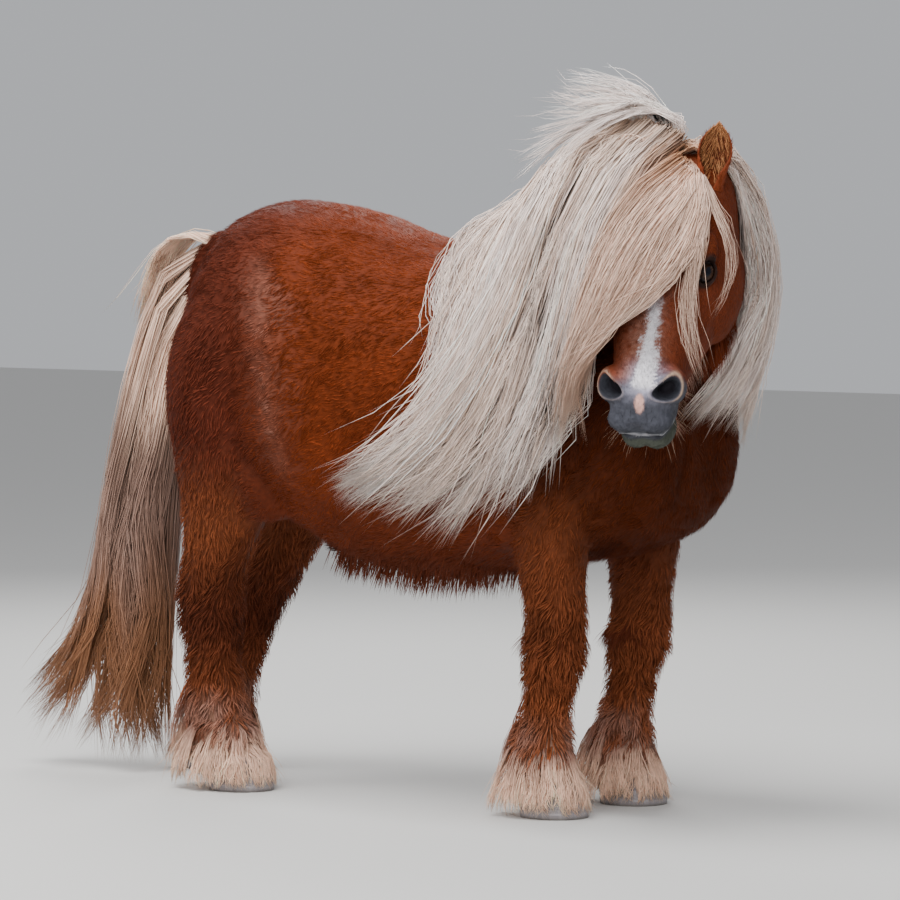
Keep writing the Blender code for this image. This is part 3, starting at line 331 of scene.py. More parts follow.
# The neck: its middle, half its depth, half its width.
NECK = thousandths("""
    0 60 700 220 150
    0 -40 760 205 150
    -15 -120 825 180 134
    -45 -185 890 152 114
    -85 -230 945 126 97
    -118 -258 985 98 80""")
# The bone of the tail: back, height, half width.
DOCK = thousandths("""
    660 890 50
    720 905 46
    765 890 40
    795 840 34
    803 770 29
    800 700 24
    797 620 15""")
# A leg: across, fore and aft, height, half width, depth ahead, depth behind.
# The last row is the coronet, where the skin ends over the hoof.
FRONT_LEG = thousandths("""
    120 -60 760 75 100 110
    140 -80 660 84 105 110
    142 -70 560 78 88 98
    134 -42 470 63 68 74
    126 -36 390 54 58 62
    121 -36 320 49 51 51
    119 -34 270 49 49 51
    117 -24 215 39 38 41
    116 -16 160 37 37 43
    116 -10 115 45 45 54
    116 -10 80 49 49 58
    116 -11 34 52 53 56""")
HIND_LEG = thousandths("""
    110 560 880 90 110 120
    135 575 770 112 150 150
    150 585 660 108 150 152
    150 592 560 90 118 128
    142 624 470 66 82 90
    132 654 395 50 62 70
    126 672 325 47 58 68
    122 676 260 42 48 52
    119 674 190 40 42 48
    117 664 125 46 48 58
    117 648 80 49 50 58
    117 641 34 52 53 56""")
LEGS = {
    "front_right": (FRONT_LEG, -1, 0.0),
    "front_left": (FRONT_LEG, 1, 0.006),
    "hind_right": (HIND_LEG, -1, 0.0),
    "hind_left": (HIND_LEG, 1, 0.250),
}
SET_BACK_POWER = 2.3
# Muscle and bone that stands out of the tubes: middle and three radii.
MASSES = [
    ((0.075, -0.183, 0.600), (0.080, 0.062, 0.120)),
    ((0.138, -0.120, 0.660), (0.060, 0.070, 0.120)),
    ((0.112, -0.010, 0.760), (0.082, 0.110, 0.140)),
    ((0.135, 0.045, 0.480), (0.045, 0.045, 0.055)),
    ((0.105, 0.640, 0.700), (0.085, 0.090, 0.170)),
    ((0.148, 0.470, 0.850), (0.068, 0.080, 0.075)),
    ((0.160, 0.520, 0.560), (0.072, 0.085, 0.110)),
]
SHEATH = ((0.0, 0.455, 0.425), (0.034, 0.070, 0.038))

# %% The head
# From poll to lips: how far along, top of the face, line of the jaw, half width,
# squareness, all measured from the head's own axis.
HEAD = thousandths("""
    -30 10 -60 46 2000
    0 36 -95 68 2100
    50 56 -135 82 2200
    100 66 -154 91 2300
    150 66 -160 94 2300
    200 60 -154 90 2300
    250 52 -140 79 2300
    300 43 -115 67 2300
    345 34 -90 58 2300
    388 27 -78 54 2300
    425 12 -74 50 2300
    450 -8 -64 37 2200""")
POLL = np.array((-0.120, -0.290, 1.040))
NOSE_WAY = unit(np.array((-0.508, -0.128, -0.852)))
HEAD_LEFT = unit(np.cross(np.array((-0.810, -0.264, 0.523)), NOSE_WAY))
HEAD_UP = unit(np.cross(NOSE_WAY, HEAD_LEFT))
HEAD_TURN = np.stack([HEAD_LEFT, NOSE_WAY, HEAD_UP])
HEAD_MASSES = [
    ((0.060, 0.165, -0.072), (0.042, 0.098, 0.078)),
    ((0.064, 0.166, 0.034), (0.026, 0.040, 0.022)),
    ((0.045, 0.384, -0.004), (0.027, 0.032, 0.030)),
    ((0.022, 0.432, -0.026), (0.032, 0.024, 0.022)),
    ((0.016, 0.422, -0.072), (0.030, 0.036, 0.023)),
]


def from_head(places):
    """Head places (across, along, height) carried to the pony: poll + place * axes."""
    return POLL + np.asarray(places, float) @ HEAD_TURN


def to_head(points):
    """Points of the pony read on the head's own axes."""
    return (np.asarray(points, float) - POLL) @ HEAD_TURN.T


# %% [markdown]
# ## One skin
# The tubes and masses overlap. A voxel remesh walks round all of them at once and
# returns a single closed surface, and smoothing then melts the joins as muscle and
# fat do under real skin. The head keeps its small forms, so it is smoothed less
# and keeps more triangles than the broad plain body.


# %% Surfaces of the flesh
def tube_along(middles, half, above, below, square, sides=48):
    """A tube square to its own path, with its across direction kept level."""
    ways = unit(np.gradient(middles, axis=0))
    across = unit(np.cross(ways, (0.0, 0.0, 1.0)))
    up = unit(np.cross(across, ways))
    return rings(middles, across, up, half, above, below, square, sides)


def leg_rows(table, side, set_back, count):
    """The leg's rows on its side of the body, its foot set back by a growing step."""
    rows = read_along(table, count)
    rows[:, 1] += set_back * (1.0 - rows[:, 2] / table[0][2]) ** SET_BACK_POWER
    rows[:, 0] *= side
    return rows


def level_tube(middles, half, above, below, square, along=(0.0, 1.0, 0.0), sides=48):
    """A tube of level rings, deep along the given direction."""
    count = len(middles)
    across = np.tile((1.0, 0.0, 0.0), (count, 1))
    return rings(middles, across, np.tile(along, (count, 1)), half, above, below, square, sides)


def ball(middle, radii, axes=None, sides=32):
    """An ellipsoid: middle + radii * (cos a sin b, sin a sin b, cos b)."""
    angle = np.linspace(0.0, np.pi, sides // 2 + 1)[1:-1]
    turn = np.linspace(0.0, 2 * np.pi, sides, endpoint=False)
    unit_ball = np.stack([
        np.sin(angle)[:, None] * np.cos(turn), np.sin(angle)[:, None] * np.sin(turn),
        np.cos(angle)[:, None] * np.ones(sides)], axis=-1)
    grid = unit_ball * np.asarray(radii)
    return np.asarray(middle) + (grid if axes is None else grid @ axes)


def flesh_grids():
    """Every tube and mass of the body, as grids of rings."""
    grids = []
    rows = read_along([(0.0, b, w, t, lo, h, sq) for b, t, lo, h, w, sq in TRUNK], 70)
    grids.append(level_tube(rows[:, :3], rows[:, 5], rows[:, 3] - rows[:, 2],
                            rows[:, 2] - rows[:, 4], rows[:, 6], (0.0, 0.0, 1.0), 64))
    rows = read_along(NECK, 36)
    grids.append(tube_along(rows[:, :3], rows[:, 4], rows[:, 3], rows[:, 3], np.full(36, 2.0)))
    rows = read_along([(0.0, back, up, half) for back, up, half in DOCK], 24)
    ways = unit(np.gradient(rows[:, :3], axis=0))
    across = np.tile((1.0, 0.0, 0.0), (24, 1))
    up = unit(np.cross(ways, across))
    grids.append(rings(rows[:, :3], across, up, rows[:, 3], rows[:, 3], rows[:, 3],
                       np.full(24, 2.0)))
    for table, side, set_back in LEGS.values():
        rows = leg_rows(table, side, set_back, 60)
        grids.append(level_tube(rows[:, :3], rows[:, 3], rows[:, 5], rows[:, 4],
                                np.full(60, 2.0)))
    for (x, y, z), radii in MASSES:
        grids += [ball((side * x, y, z), radii) for side in (1, -1)]
    grids.append(ball(*SHEATH))
    return grids


def head_grids():
    """The tube and the masses of the head."""
    rows = read_along([(s, 0, 0, t, lo, h, sq) for s, t, lo, h, sq in HEAD], 60)
    wide = rows[:, 4] + 0.55 * (rows[:, 3] - rows[:, 4])
    middles = from_head(np.stack([0 * wide, rows[:, 0], wide], axis=1))
    across, up = np.tile(HEAD_LEFT, (60, 1)), np.tile(HEAD_UP, (60, 1))
    grids = [rings(middles, across, up, rows[:, 5], rows[:, 3] - wide, wide - rows[:, 4],
                   rows[:, 6])]
    for (half, along, height), radii in HEAD_MASSES:
        for side in (1, -1):
            grids.append(ball(from_head((side * half, along, height)), radii, HEAD_TURN))
    return grids


# %% Melt them into one skin
def with_group(made, name, weights, levels=8):
    """A vertex group on the object, one weight for each vertex in a few even steps."""
    group = made.vertex_groups.new(name=name)
    steps = np.round(np.clip(weights, 0.0, 1.0) * levels) / levels
    for step in np.unique(steps):
        group.add(np.flatnonzero(steps == step).tolist(), float(step), "REPLACE")


def apply_all(made):
    """The object with its modifiers made part of its mesh."""
    graph = bpy.context.evaluated_depsgraph_get()
    mesh = bpy.data.meshes.new_from_object(made.evaluated_get(graph))
    made.modifiers.clear()
    made.data = mesh
    return made


def headness(points):
    """How much a place belongs to the head: 1 past the throat, 0 on the neck."""
    along = to_head(points)[:, 1]
    near = np.linalg.norm(points - from_head((0.0, 0.18, -0.04)), axis=1)
    return np.clip((along + 0.01) / 0.05, 0.0, 1.0) * np.clip((0.36 - near) / 0.04, 0.0, 1.0)


def melted_skin(voxel, kept):
    """All the grids as one closed skin of about the wanted number of triangles."""
    points, triangles, start = [], [], 0
    for grid in flesh_grids() + head_grids():
        some, faces = closed_loft(grid)
        points.append(some)
        triangles.append(faces + start)
        start += len(some)
    made = facing_out(add_mesh("skin", np.concatenate(points), np.concatenate(triangles)))
    remesh = made.modifiers.new("one_skin", "REMESH")
    remesh.mode = "VOXEL"
    remesh.voxel_size = voxel
    apply_all(made)
    with_group(made, "body", 1.0 - headness(points_of(made)))
    rounds = 10 * (0.006 / voxel) ** 2
    for group, times in (("body", rounds), ("", 4)):
        soft = made.modifiers.new("soften", "SMOOTH")
        soft.factor = 0.5
        soft.iterations = int(times)
        soft.vertex_group = group
    apply_all(made)
    with_group(made, "thin", 1.0 - headness(points_of(made)))
    thin = made.modifiers.new("thin", "DECIMATE")
    thin.ratio = min(1.0, kept / (2.0 * len(made.data.polygons)))
    thin.vertex_group = "thin"
    return apply_all(made)


skin = melted_skin(0.003 if FINE else 0.005, 142000 if FINE else 90000)
print("skin:", len(skin.data.vertices), "points")

# %% [markdown]
# ## Where on the body a place is
# Hair colour, hair length and the way the coat lies all change from one part of
# the pony to the next. A row of samples along the middle of each tube answers
# all of it: each sample knows its part, its radius and how hair lies there, and
# a place takes a blend of the samples that it is nearest to, in radii.


# %% Samples along every tube
def part_samples():
    """Middles, radii, lie of the coat, part number and how far along, for every tube."""
    middles, radii, lies, parts, alongs = [], [], [], [], []

    def add(places, radius, lie, part):
        count = len(places)
        middles.append(places)
        radii.append(np.broadcast_to(radius, (count,)))
        lies.append(unit(np.broadcast_to(lie, (count, 3))))
        parts.append(np.full(count, part))
        alongs.append(np.linspace(0.0, 1.0, count))

    rows = read_along([(0.0, b, w, t, lo, h) for b, t, lo, h, w, _ in TRUNK], 24)[1:-1]
    add(rows[:, :3], (rows[:, 5] + (rows[:, 3] - rows[:, 4]) / 2) / 2, (0.0, 0.86, -0.52), 0)
    rows = read_along(NECK, 12)
    add(rows[:, :3], (rows[:, 3] + rows[:, 4]) / 2, (-0.05, 0.50, -0.86), 1)
    along = np.linspace(0.02, 0.44, 16)
    add(from_head(np.stack([0 * along, along, -0.03 - 0 * along], axis=1)),
        np.interp(along, (0.0, 0.15, 0.35, 0.44), (0.08, 0.105, 0.058, 0.048)), NOSE_WAY, 2)
    rows = read_along([(0.0, back, up, half) for back, up, half in DOCK], 8)
    add(rows[:, :3], rows[:, 3], unit(np.gradient(rows[:, :3], axis=0)), 3)
    for number, (table, side, set_back) in enumerate(LEGS.values()):
        rows = leg_rows(table, side, set_back, 18)[3:]
        add(rows[:, :3], (rows[:, 3] + (rows[:, 4] + rows[:, 5]) / 2) / 2,
            (0.0, 0.22, -0.97), 4 + number)
    return [np.concatenate(rows) for rows in (middles, radii, lies, parts, alongs)]


MIDDLES, RADII, LIES, PARTS, ALONGS = part_samples()
PART_COUNT = 8
SHARPNESS = 9.0
CHUNK = 20000


def read_parts(points):
    """For each point the weight of each part, its blended lie and its nearest sample.

    The weight of a sample falls as exp(-sharpness * how much further away it is than
    the nearest one, both measured in radii of their tubes).
    """
    weights = np.zeros((len(points), PART_COUNT))
    lie = np.zeros((len(points), 3))
    nearest = np.zeros(len(points), int)
    for start in range(0, len(points), CHUNK):
        some = slice(start, start + CHUNK)
        apart = np.linalg.norm(points[some, None] - MIDDLES[None], axis=2) / RADII
        nearest[some] = apart.argmin(axis=1)
        share = np.exp(-SHARPNESS * (apart - apart.min(axis=1, keepdims=True)))
        share /= share.sum(axis=1, keepdims=True)
        lie[some] = share @ LIES
        for part in range(PART_COUNT):
            weights[some, part] = share[:, PARTS == part].sum(axis=1)
    return weights, unit(lie), nearest


def waves(points, length, seed, count=9):
    """A smooth random field of about -1 to 1: a mean of sines in random directions."""
    own = np.random.default_rng(seed)
    ways = unit(own.normal(size=(count, 3))) * (2 * np.pi / length)
    ways *= own.uniform(0.6, 1.5, (count, 1))
    return np.sin(points @ ways.T + own.uniform(0, 2 * np.pi, count)).sum(axis=1) / (1.2 * count**0.5)


# %% [markdown]
# ## The face
# The eyes, nostrils and mouth are pressed into the skin as sculptors do it, by
# moving points. The skin there is divided finer first. Each form is a smooth
# function of how far a point is from an oval or a line drawn on the head.

# %% Sizes of the face
EYE_LOOK = unit(np.array((0.66, 0.28, 0.70)))
LID_HALF_LONG, LID_HALF_HIGH = 0.0185, 0.0125
LID_THICK = 0.0032
# How far the skin lies behind the eyeball's front, and the depth of the upper fold.
BEHIND_EYE, LID_FOLD = 0.004, 0.0016
NOSTRIL_PLACE = np.array((0.040, 0.388, -0.002))
NOSTRIL_WAY = unit(np.array((0.34, 0.62, 0.71)))
NOSTRIL_LONG_WAY = np.array((0.80, -0.55, 0.10))
NOSTRIL_HALF_LONG, NOSTRIL_HALF_WIDE, NOSTRIL_DEEP = 0.0250, 0.0160, 0.024
NOSTRIL_RIM, NOSTRIL_BEND = 0.0032, 9.0
LIP_FULL, MOUTH_DEEP = 0.0016, 0.0058
MOUTH_LINE = thousandths("""
    62 355 -62
    58 388 -57
    46 422 -51
    26 450 -48
    0 460 -47""")
CHEEK_CREST = [
    (0.080, 0.150, -0.010), (0.083, 0.190, -0.020), (0.076, 0.230, -0.026), (0.066, 0.270, -0.026),
]
SIDES = {"left": 1, "right": -1}


def mirrored(place, side):
    """A head place or way on the left or the right side of the head."""
    return np.asarray(place) * (side, 1, 1)


def own_axes(way, hint):
    """Three square directions: one near the hint, one across it, and the way itself."""
    out = unit(np.asarray(way, float))
    long = unit(np.asarray(hint, float) - out * np.dot(hint, out))
    return np.stack([long, np.cross(out, long), out])


eyes = {}
for word, side in SIDES.items():
    low, high = (np.array(corner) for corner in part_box("eye_" + word))
    eyes[word] = ((low + high) / 2 - SHIFT, float((high - low).mean()) / 2)
    print(word, "eye at", np.round(eyes[word][0], 3), "radius", round(eyes[word][1], 4))


# %% Divide the skin finer round the eyes, the nostrils and the mouth
def divided(made, places, reach, rounds):
    """The mesh with the edges near the places cut in two, once for each round."""
    mesh = bmesh.new()
    mesh.from_mesh(made.data)
    for step in range(rounds):
        limit = reach * (1.0 - 0.22 * step)
        points = np.array([vert.co[:] for vert in mesh.verts])
        near = np.zeros(len(points), bool)
        for place in places:
            near |= np.linalg.norm(points - place, axis=1) < limit
        mesh.verts.ensure_lookup_table()
        chosen = {edge for i in np.flatnonzero(near) for edge in mesh.verts[i].link_edges}
        bmesh.ops.subdivide_edges(mesh, edges=list(chosen), cuts=1)
        bmesh.ops.triangulate(mesh, faces=[f for f in mesh.faces if len(f.verts) > 3])
    mesh.to_mesh(made.data)
    mesh.free()


mouth_path = read_along(MOUTH_LINE, 16)
mouth_path = np.concatenate([mouth_path, (mouth_path * (-1, 1, 1))[-2::-1]])
fine_places = [eyes[word][0] for word in SIDES]
fine_places += [from_head(mirrored(NOSTRIL_PLACE + NOSTRIL_WAY * 0.015, side))
                for side in SIDES.values()]
if FINE:
    divided(skin, fine_places, 0.032, 2)
    divided(skin, from_head(mouth_path[::2]), 0.010, 1)
print("skin with a finer face:", len(skin.data.vertices), "points")


# %% Press in the eyes, nostrils and mouth
def smooth_step(values, low, high):
    """0 below low, 1 above high, and a smooth cubic between."""
    t = np.clip((values - low) / (high - low), 0.0, 1.0)
    return t * t * (3 - 2 * t)


def oval_distance(points, middle, axes, half_long, half_high):
    """Own coordinates of points, and their distance from the middle in ovals."""
    own = (points - middle) @ axes.T
    return own, np.hypot(own[:, 0] / half_long, own[:, 1] / half_high)


def eye_axes(side):
    """The axes of an eye: along the lids, across them, and where the eye looks."""
    return own_axes(mirrored(EYE_LOOK, side) @ HEAD_TURN, NOSE_WAY)


def with_eye_socket(points, side, middle, radius):
    """Lids lie on the eyeball, and inside the oval the skin drops behind it."""
    axes = eye_axes(side)
    own, ring = oval_distance(points, middle, axes, LID_HALF_LONG, LID_HALF_HIGH)
    flat = np.hypot(own[:, 0], own[:, 1])
    front = own[:, 2] > -BEHIND_EYE
    over_ball = radius + LID_THICK
    lid = np.sqrt(np.maximum(over_ball**2 - flat**2, 0.0))
    share = (1 - smooth_step(ring, 1.25, 2.1)) * front * (flat < over_ball)
    height = own[:, 2] + np.maximum(lid - own[:, 2], 0.0) * share
    height -= LID_FOLD * np.exp(-((ring - 1.62) / 0.12) ** 2) * front
    inside = np.sqrt(np.maximum((radius - BEHIND_EYE) ** 2 - flat**2, 0.0))
    open_share = 1 - smooth_step(ring, 0.90, 1.06)
    height = np.where(front, height + (inside - height) * open_share, own[:, 2])
    return middle + np.stack([own[:, 0], own[:, 1], height], axis=1) @ axes


def nostril_axes(side):
    """The axes of a nostril: its long way, across it, and out of it."""
    return own_axes(mirrored(NOSTRIL_WAY, side) @ HEAD_TURN,
                    mirrored(NOSTRIL_LONG_WAY, side) @ HEAD_TURN)


def nostril_reading(points, side, middle):
    """Own coordinates at a nostril, and the distance in bent ovals."""
    axes = nostril_axes(side)
    own, _ = oval_distance(points, middle, axes, 1.0, 1.0)
    bent = own[:, 1] - side * NOSTRIL_BEND * (own[:, 0] ** 2 - 0.0001)
    wide = NOSTRIL_HALF_WIDE * (1.0 + NOSTRIL_BEND * own[:, 0])
    ring = np.hypot(own[:, 0] / NOSTRIL_HALF_LONG, bent / wide)
    return own, ring, axes


def with_nostril(points, side, middle):
    """A pit that deepens as 1 - distance squared, with a raised soft rim."""
    own, ring, axes = nostril_reading(points, side, middle)
    near = np.abs(own[:, 2]) < 0.030
    rim = NOSTRIL_RIM * np.exp(-((ring - 1.18) / 0.20) ** 2)
    pit = NOSTRIL_DEEP * smooth_step(1.06 - ring, 0.0, 0.62)
    return points + np.outer(near * (rim - pit), axes[2])


def nearest_on(points, path):
    """The distance from each point to the nearest point of a path."""
    return np.linalg.norm(points[:, None] - path[None], axis=2).min(axis=1)


def with_mouth(points, normals):
    """A groove along the mouth, and full lips on both sides of it."""
    head = to_head(points)
    close = np.flatnonzero(np.linalg.norm(head - (0.0, 0.41, -0.05), axis=1) < 0.11)
    path = read_along(mouth_path, 90)
    apart = nearest_on(head[close], path)
    push = LIP_FULL * np.exp(-((apart - 0.008) / 0.005) ** 2)
    push -= MOUTH_DEEP * np.exp(-((apart / 0.0026) ** 2))
    points = points.copy()
    points[close] += normals[close] * push[:, None]
    return points


def surface_hit(tree, inside, way):
    """Where the skin is crossed on the way out of a place inside it."""
    return np.array(tree.ray_cast(Vector(inside + way * 0.2), Vector(-way))[0])


points, normals = points_of(skin), normals_of(skin)
weights, lie, nearest = read_parts(points)
# How deep the skin lies under the tips of the coat, for each part.
COAT_DEPTH = np.array((0.0055, 0.006, 0.0012, 0.006, *[0.004] * 4))
foot_share = np.clip((0.13 - points[:, 2]) / 0.05, 0.0, 1.0)
depth = weights @ COAT_DEPTH * (1 - foot_share) + 0.003 * foot_share
points = points - normals * depth[:, None]
points[:, 2] = np.maximum(points[:, 2], SKIN_FLOOR)
LUMP_HIGH, CREST_HIGH = 0.0016, 0.003
lumps = waves(points * (1.0, 0.8, 0.5), 0.060, 3) * (1 - weights[:, 2])
points += normals * (LUMP_HIGH * lumps)[:, None]
crest = read_along(CHEEK_CREST, 30)
head_points = to_head(points)
on_head = np.flatnonzero(weights[:, 2] > 0.5)
for side in SIDES.values():
    apart = nearest_on(head_points[on_head], crest * (side, 1, 1))
    points[on_head] += normals[on_head] * (CREST_HIGH * np.exp(-((apart / 0.010) ** 2)))[:, None]
move_points(skin, points)
faces = [tuple(face.vertices) for face in skin.data.polygons]
tree = BVHTree.FromPolygons([Vector(p) for p in points], faces)
nostrils = {}
for word, side in SIDES.items():
    way = mirrored(NOSTRIL_WAY, side) @ HEAD_TURN
    nostrils[word] = surface_hit(tree, from_head(mirrored(NOSTRIL_PLACE, side)), way)
points = with_mouth(points, normals_of(skin))
for word, side in SIDES.items():
    points = with_nostril(points, side, nostrils[word])
    points = with_eye_socket(points, side, *eyes[word])
move_points(skin, points)
print("the nostrils are at", {word: np.round(place, 3) for word, place in nostrils.items()})

# %% [markdown]
# ## The colours of the coat
# The pony is a chestnut with a flaxen mane and tail. The barrel is the most
# orange and the hindquarters are duller. The neck, chest and shoulders are a darker
# chestnut, darkened further as painted shade under the head and the mane, and the
# belly's underside, the upper legs, the hocks and the knees are painted darker as
# shade. The legs end in pale hair at the hoof. The muzzle is grey with a painted
# highlight on its top, the nostrils are rimmed with tan and painted black inside as
# shade, the mouth's groove is painted black as shade, and a white stripe runs down
# the nose to a pink spot. Skin and tufts both ask the same function, so their
# markings and painted shade are the same.

# %% Named colours, in linear values
CHESTNUT = np.array((0.172, 0.031, 0.008))
RUMP_CHESTNUT = np.array((0.122, 0.025, 0.012))
# The neck, chest and shoulders: a darker chestnut, darkened further as painted shade under the head
# and the mane.
NECK_CHESTNUT_SHADED = np.array((0.080, 0.016, 0.004))
LEG_CHESTNUT = np.array((0.270, 0.076, 0.028))
# A dark brown: the inside of the ears and the hair under the belly, and painted shade round the hocks
# and knees and under the belly.
DARK_BROWN_AND_SHADE = np.array((0.082, 0.020, 0.009))
FACE_CHESTNUT = np.array((0.180, 0.038, 0.014))
ROAN = np.array((0.460, 0.250, 0.190))
PALE_HAIR = np.array((0.850, 0.560, 0.410))
MUZZLE_GREY = np.array((0.062, 0.064, 0.079))
# A painted highlight, pale blue grey, on the lit top of the muzzle between the nostrils.
MUZZLE_HIGHLIGHT = np.array((0.420, 0.400, 0.500))
LIP_DARK = np.array((0.046, 0.049, 0.058))
LIP_GREY = np.array((0.330, 0.330, 0.350))
CHIN_DARK = np.array((0.060, 0.066, 0.048))
RIM_TAN = np.array((0.560, 0.380, 0.270))
BLAZE_WHITE = np.array((0.800, 0.760, 0.800))
SNIP_PINK = np.array((0.640, 0.360, 0.300))
# Black painted shade inside the nostrils and along the line of the mouth.
PIT_SHADE_BLACK = np.array((0.014, 0.012, 0.016))
LID_BLACK = np.array((0.030, 0.022, 0.020))
SHEATH_DARK = np.array((0.045, 0.026, 0.020))
# The stripe of the nose: across, along and half width, from its top down.
BLAZE = np.array([
    (0.007, 0.220, 0.003), (0.011, 0.265, 0.008), (0.012, 0.310, 0.010),
    (0.012, 0.350, 0.013), (0.010, 0.395, 0.016)])
# The pink spot: across, along and radius.
SNIP = (0.006, 0.424, 0.009)
# How far along the head each marking and the painted highlight begins and is full, or fades and is
# gone.
ROAN_BEGINS, STRIPE_BEGINS, STRIPE_ENDS = (0.14, 0.20), (0.20, 0.29), (0.395, 0.41)
GREY_BEGINS, HIGHLIGHT_BEGINS, HIGHLIGHT_ENDS = (0.364, 0.388), (0.345, 0.375), (0.405, 0.430)
LIPS_BEGIN, CHIN_BEGINS, JAW_GREY_BEGINS = (0.395, 0.425), (0.36, 0.40), (0.33, 0.37)


def mixed(colours, other, share):
    """Each colour moved towards another by its share, from 0 to 1."""
    share = np.clip(share, 0.0, 1.0)[:, None]
    return colours * (1 - share) + other * share


# How far along the head each row of the mouth is, and how high.
MOUTH_RISE = np.array([(along, height) for _, along, height in MOUTH_LINE]).T


def face_colours(colours, points, share):
    """The markings of the head, a painted highlight on the muzzle and painted shade in the nostrils
    and along the mouth, laid over the colours there, one after another.
    """
    head = to_head(points)
    across, along, height = head.T
    middle, half = (np.interp(along, BLAZE[:, 1], BLAZE[:, column]) for column in (0, 2))
    ragged = 0.0035 * waves(points, 0.018, 21) + 0.0035 * waves(points, 0.005, 22)
    on_top = smooth_step(height, -0.02, 0.0)
    roan = np.exp(-((across / 0.030) ** 2)) * smooth_step(along, *ROAN_BEGINS)
    later = 0.016 * smooth_step(across * SIDES["right"], -0.005, 0.020)
    grey = smooth_step(along + 0.25 * ragged - later, *GREY_BEGINS)
    grey += smooth_step(-height, 0.060, 0.085) * smooth_step(along, *JAW_GREY_BEGINS)
    # The painted highlight runs along the middle of the stripe on the top of the muzzle.
    lit_bridge = np.exp(-(((across - middle) / 0.026) ** 2)) * smooth_step(along, *HIGHLIGHT_BEGINS)
    stripe = 1 - smooth_step(np.abs(across - middle) + ragged, half - 0.005, half + 0.005)
    stripe *= smooth_step(along, *STRIPE_BEGINS) * (1 - smooth_step(along, *STRIPE_ENDS))
    lips = smooth_step(along, *LIPS_BEGIN) * smooth_step(-height, 0.012, 0.030)
    chin = smooth_step(along, *CHIN_BEGINS) * smooth_step(-height, 0.052, 0.062)
    snip = np.hypot(across - SNIP[0], (along - SNIP[1]) * 0.6)
    layers = [
        (ROAN, on_top * roan * (0.40 + 0.25 * waves(points, 0.012, 23))),
        (MUZZLE_GREY, np.clip(grey, 0, 1)),
        (MUZZLE_HIGHLIGHT, 0.8 * on_top * lit_bridge * (1 - smooth_step(along, *HIGHLIGHT_ENDS))),
        (BLAZE_WHITE, on_top * stripe), (LIP_DARK, 0.8 * lips), (CHIN_DARK, 0.8 * chin),
        (SNIP_PINK, on_top * (1 - smooth_step(snip, 0.7 * SNIP[2], SNIP[2])))]
    for word, side in SIDES.items():
        own, ring, _ = nostril_reading(points, side, nostrils[word])
        near = np.abs(own[:, 2]) < 0.035
        rim = 0.10 + 0.65 * smooth_step(own[:, 0] / NOSTRIL_HALF_LONG, -0.3, 0.7)
        own, lid = oval_distance(points, eyes[word][0], eye_axes(side), LID_HALF_LONG, LID_HALF_HIGH)
        layers += [
            (RIM_TAN, near * rim * np.exp(-((ring - 1.12) / 0.09) ** 2)),
            # Inside the rim the nostril is painted darker, and black in its pit, as shade in the hole.
            (MUZZLE_GREY * 0.6, near * (1 - smooth_step(ring, 0.9, 1.05))),
            (PIT_SHADE_BLACK, near * (1 - smooth_step(ring, 0.45, 0.80))),
            (LID_BLACK, 0.9 * (1 - smooth_step(lid, 1.25, 1.75)) * (own[:, 2] > -0.01))]
    for other, part in layers:
        colours = mixed(colours, other, share * part)
    path = read_along(mouth_path, 60)
    close = np.flatnonzero((along > 0.33) & (share > 0.5))
    groove, edge = np.zeros(len(points)), np.zeros(len(points))
    apart = nearest_on(head[close], path)
    groove[close] = np.exp(-((apart / 0.0032) ** 2))
    above = height[close] - np.interp(along[close], MOUTH_RISE[0], MOUTH_RISE[1])
    edge[close] = np.exp(-(((apart - 0.0085) / 0.0030) ** 2)) * smooth_step(above, -0.001, 0.003)
    edge[close] *= smooth_step(along[close], 0.41, 0.43)
    # The groove of the mouth is painted black as shade in the crease.
    return mixed(mixed(colours, LIP_GREY, edge * 0.75), PIT_SHADE_BLACK, groove * 0.9)


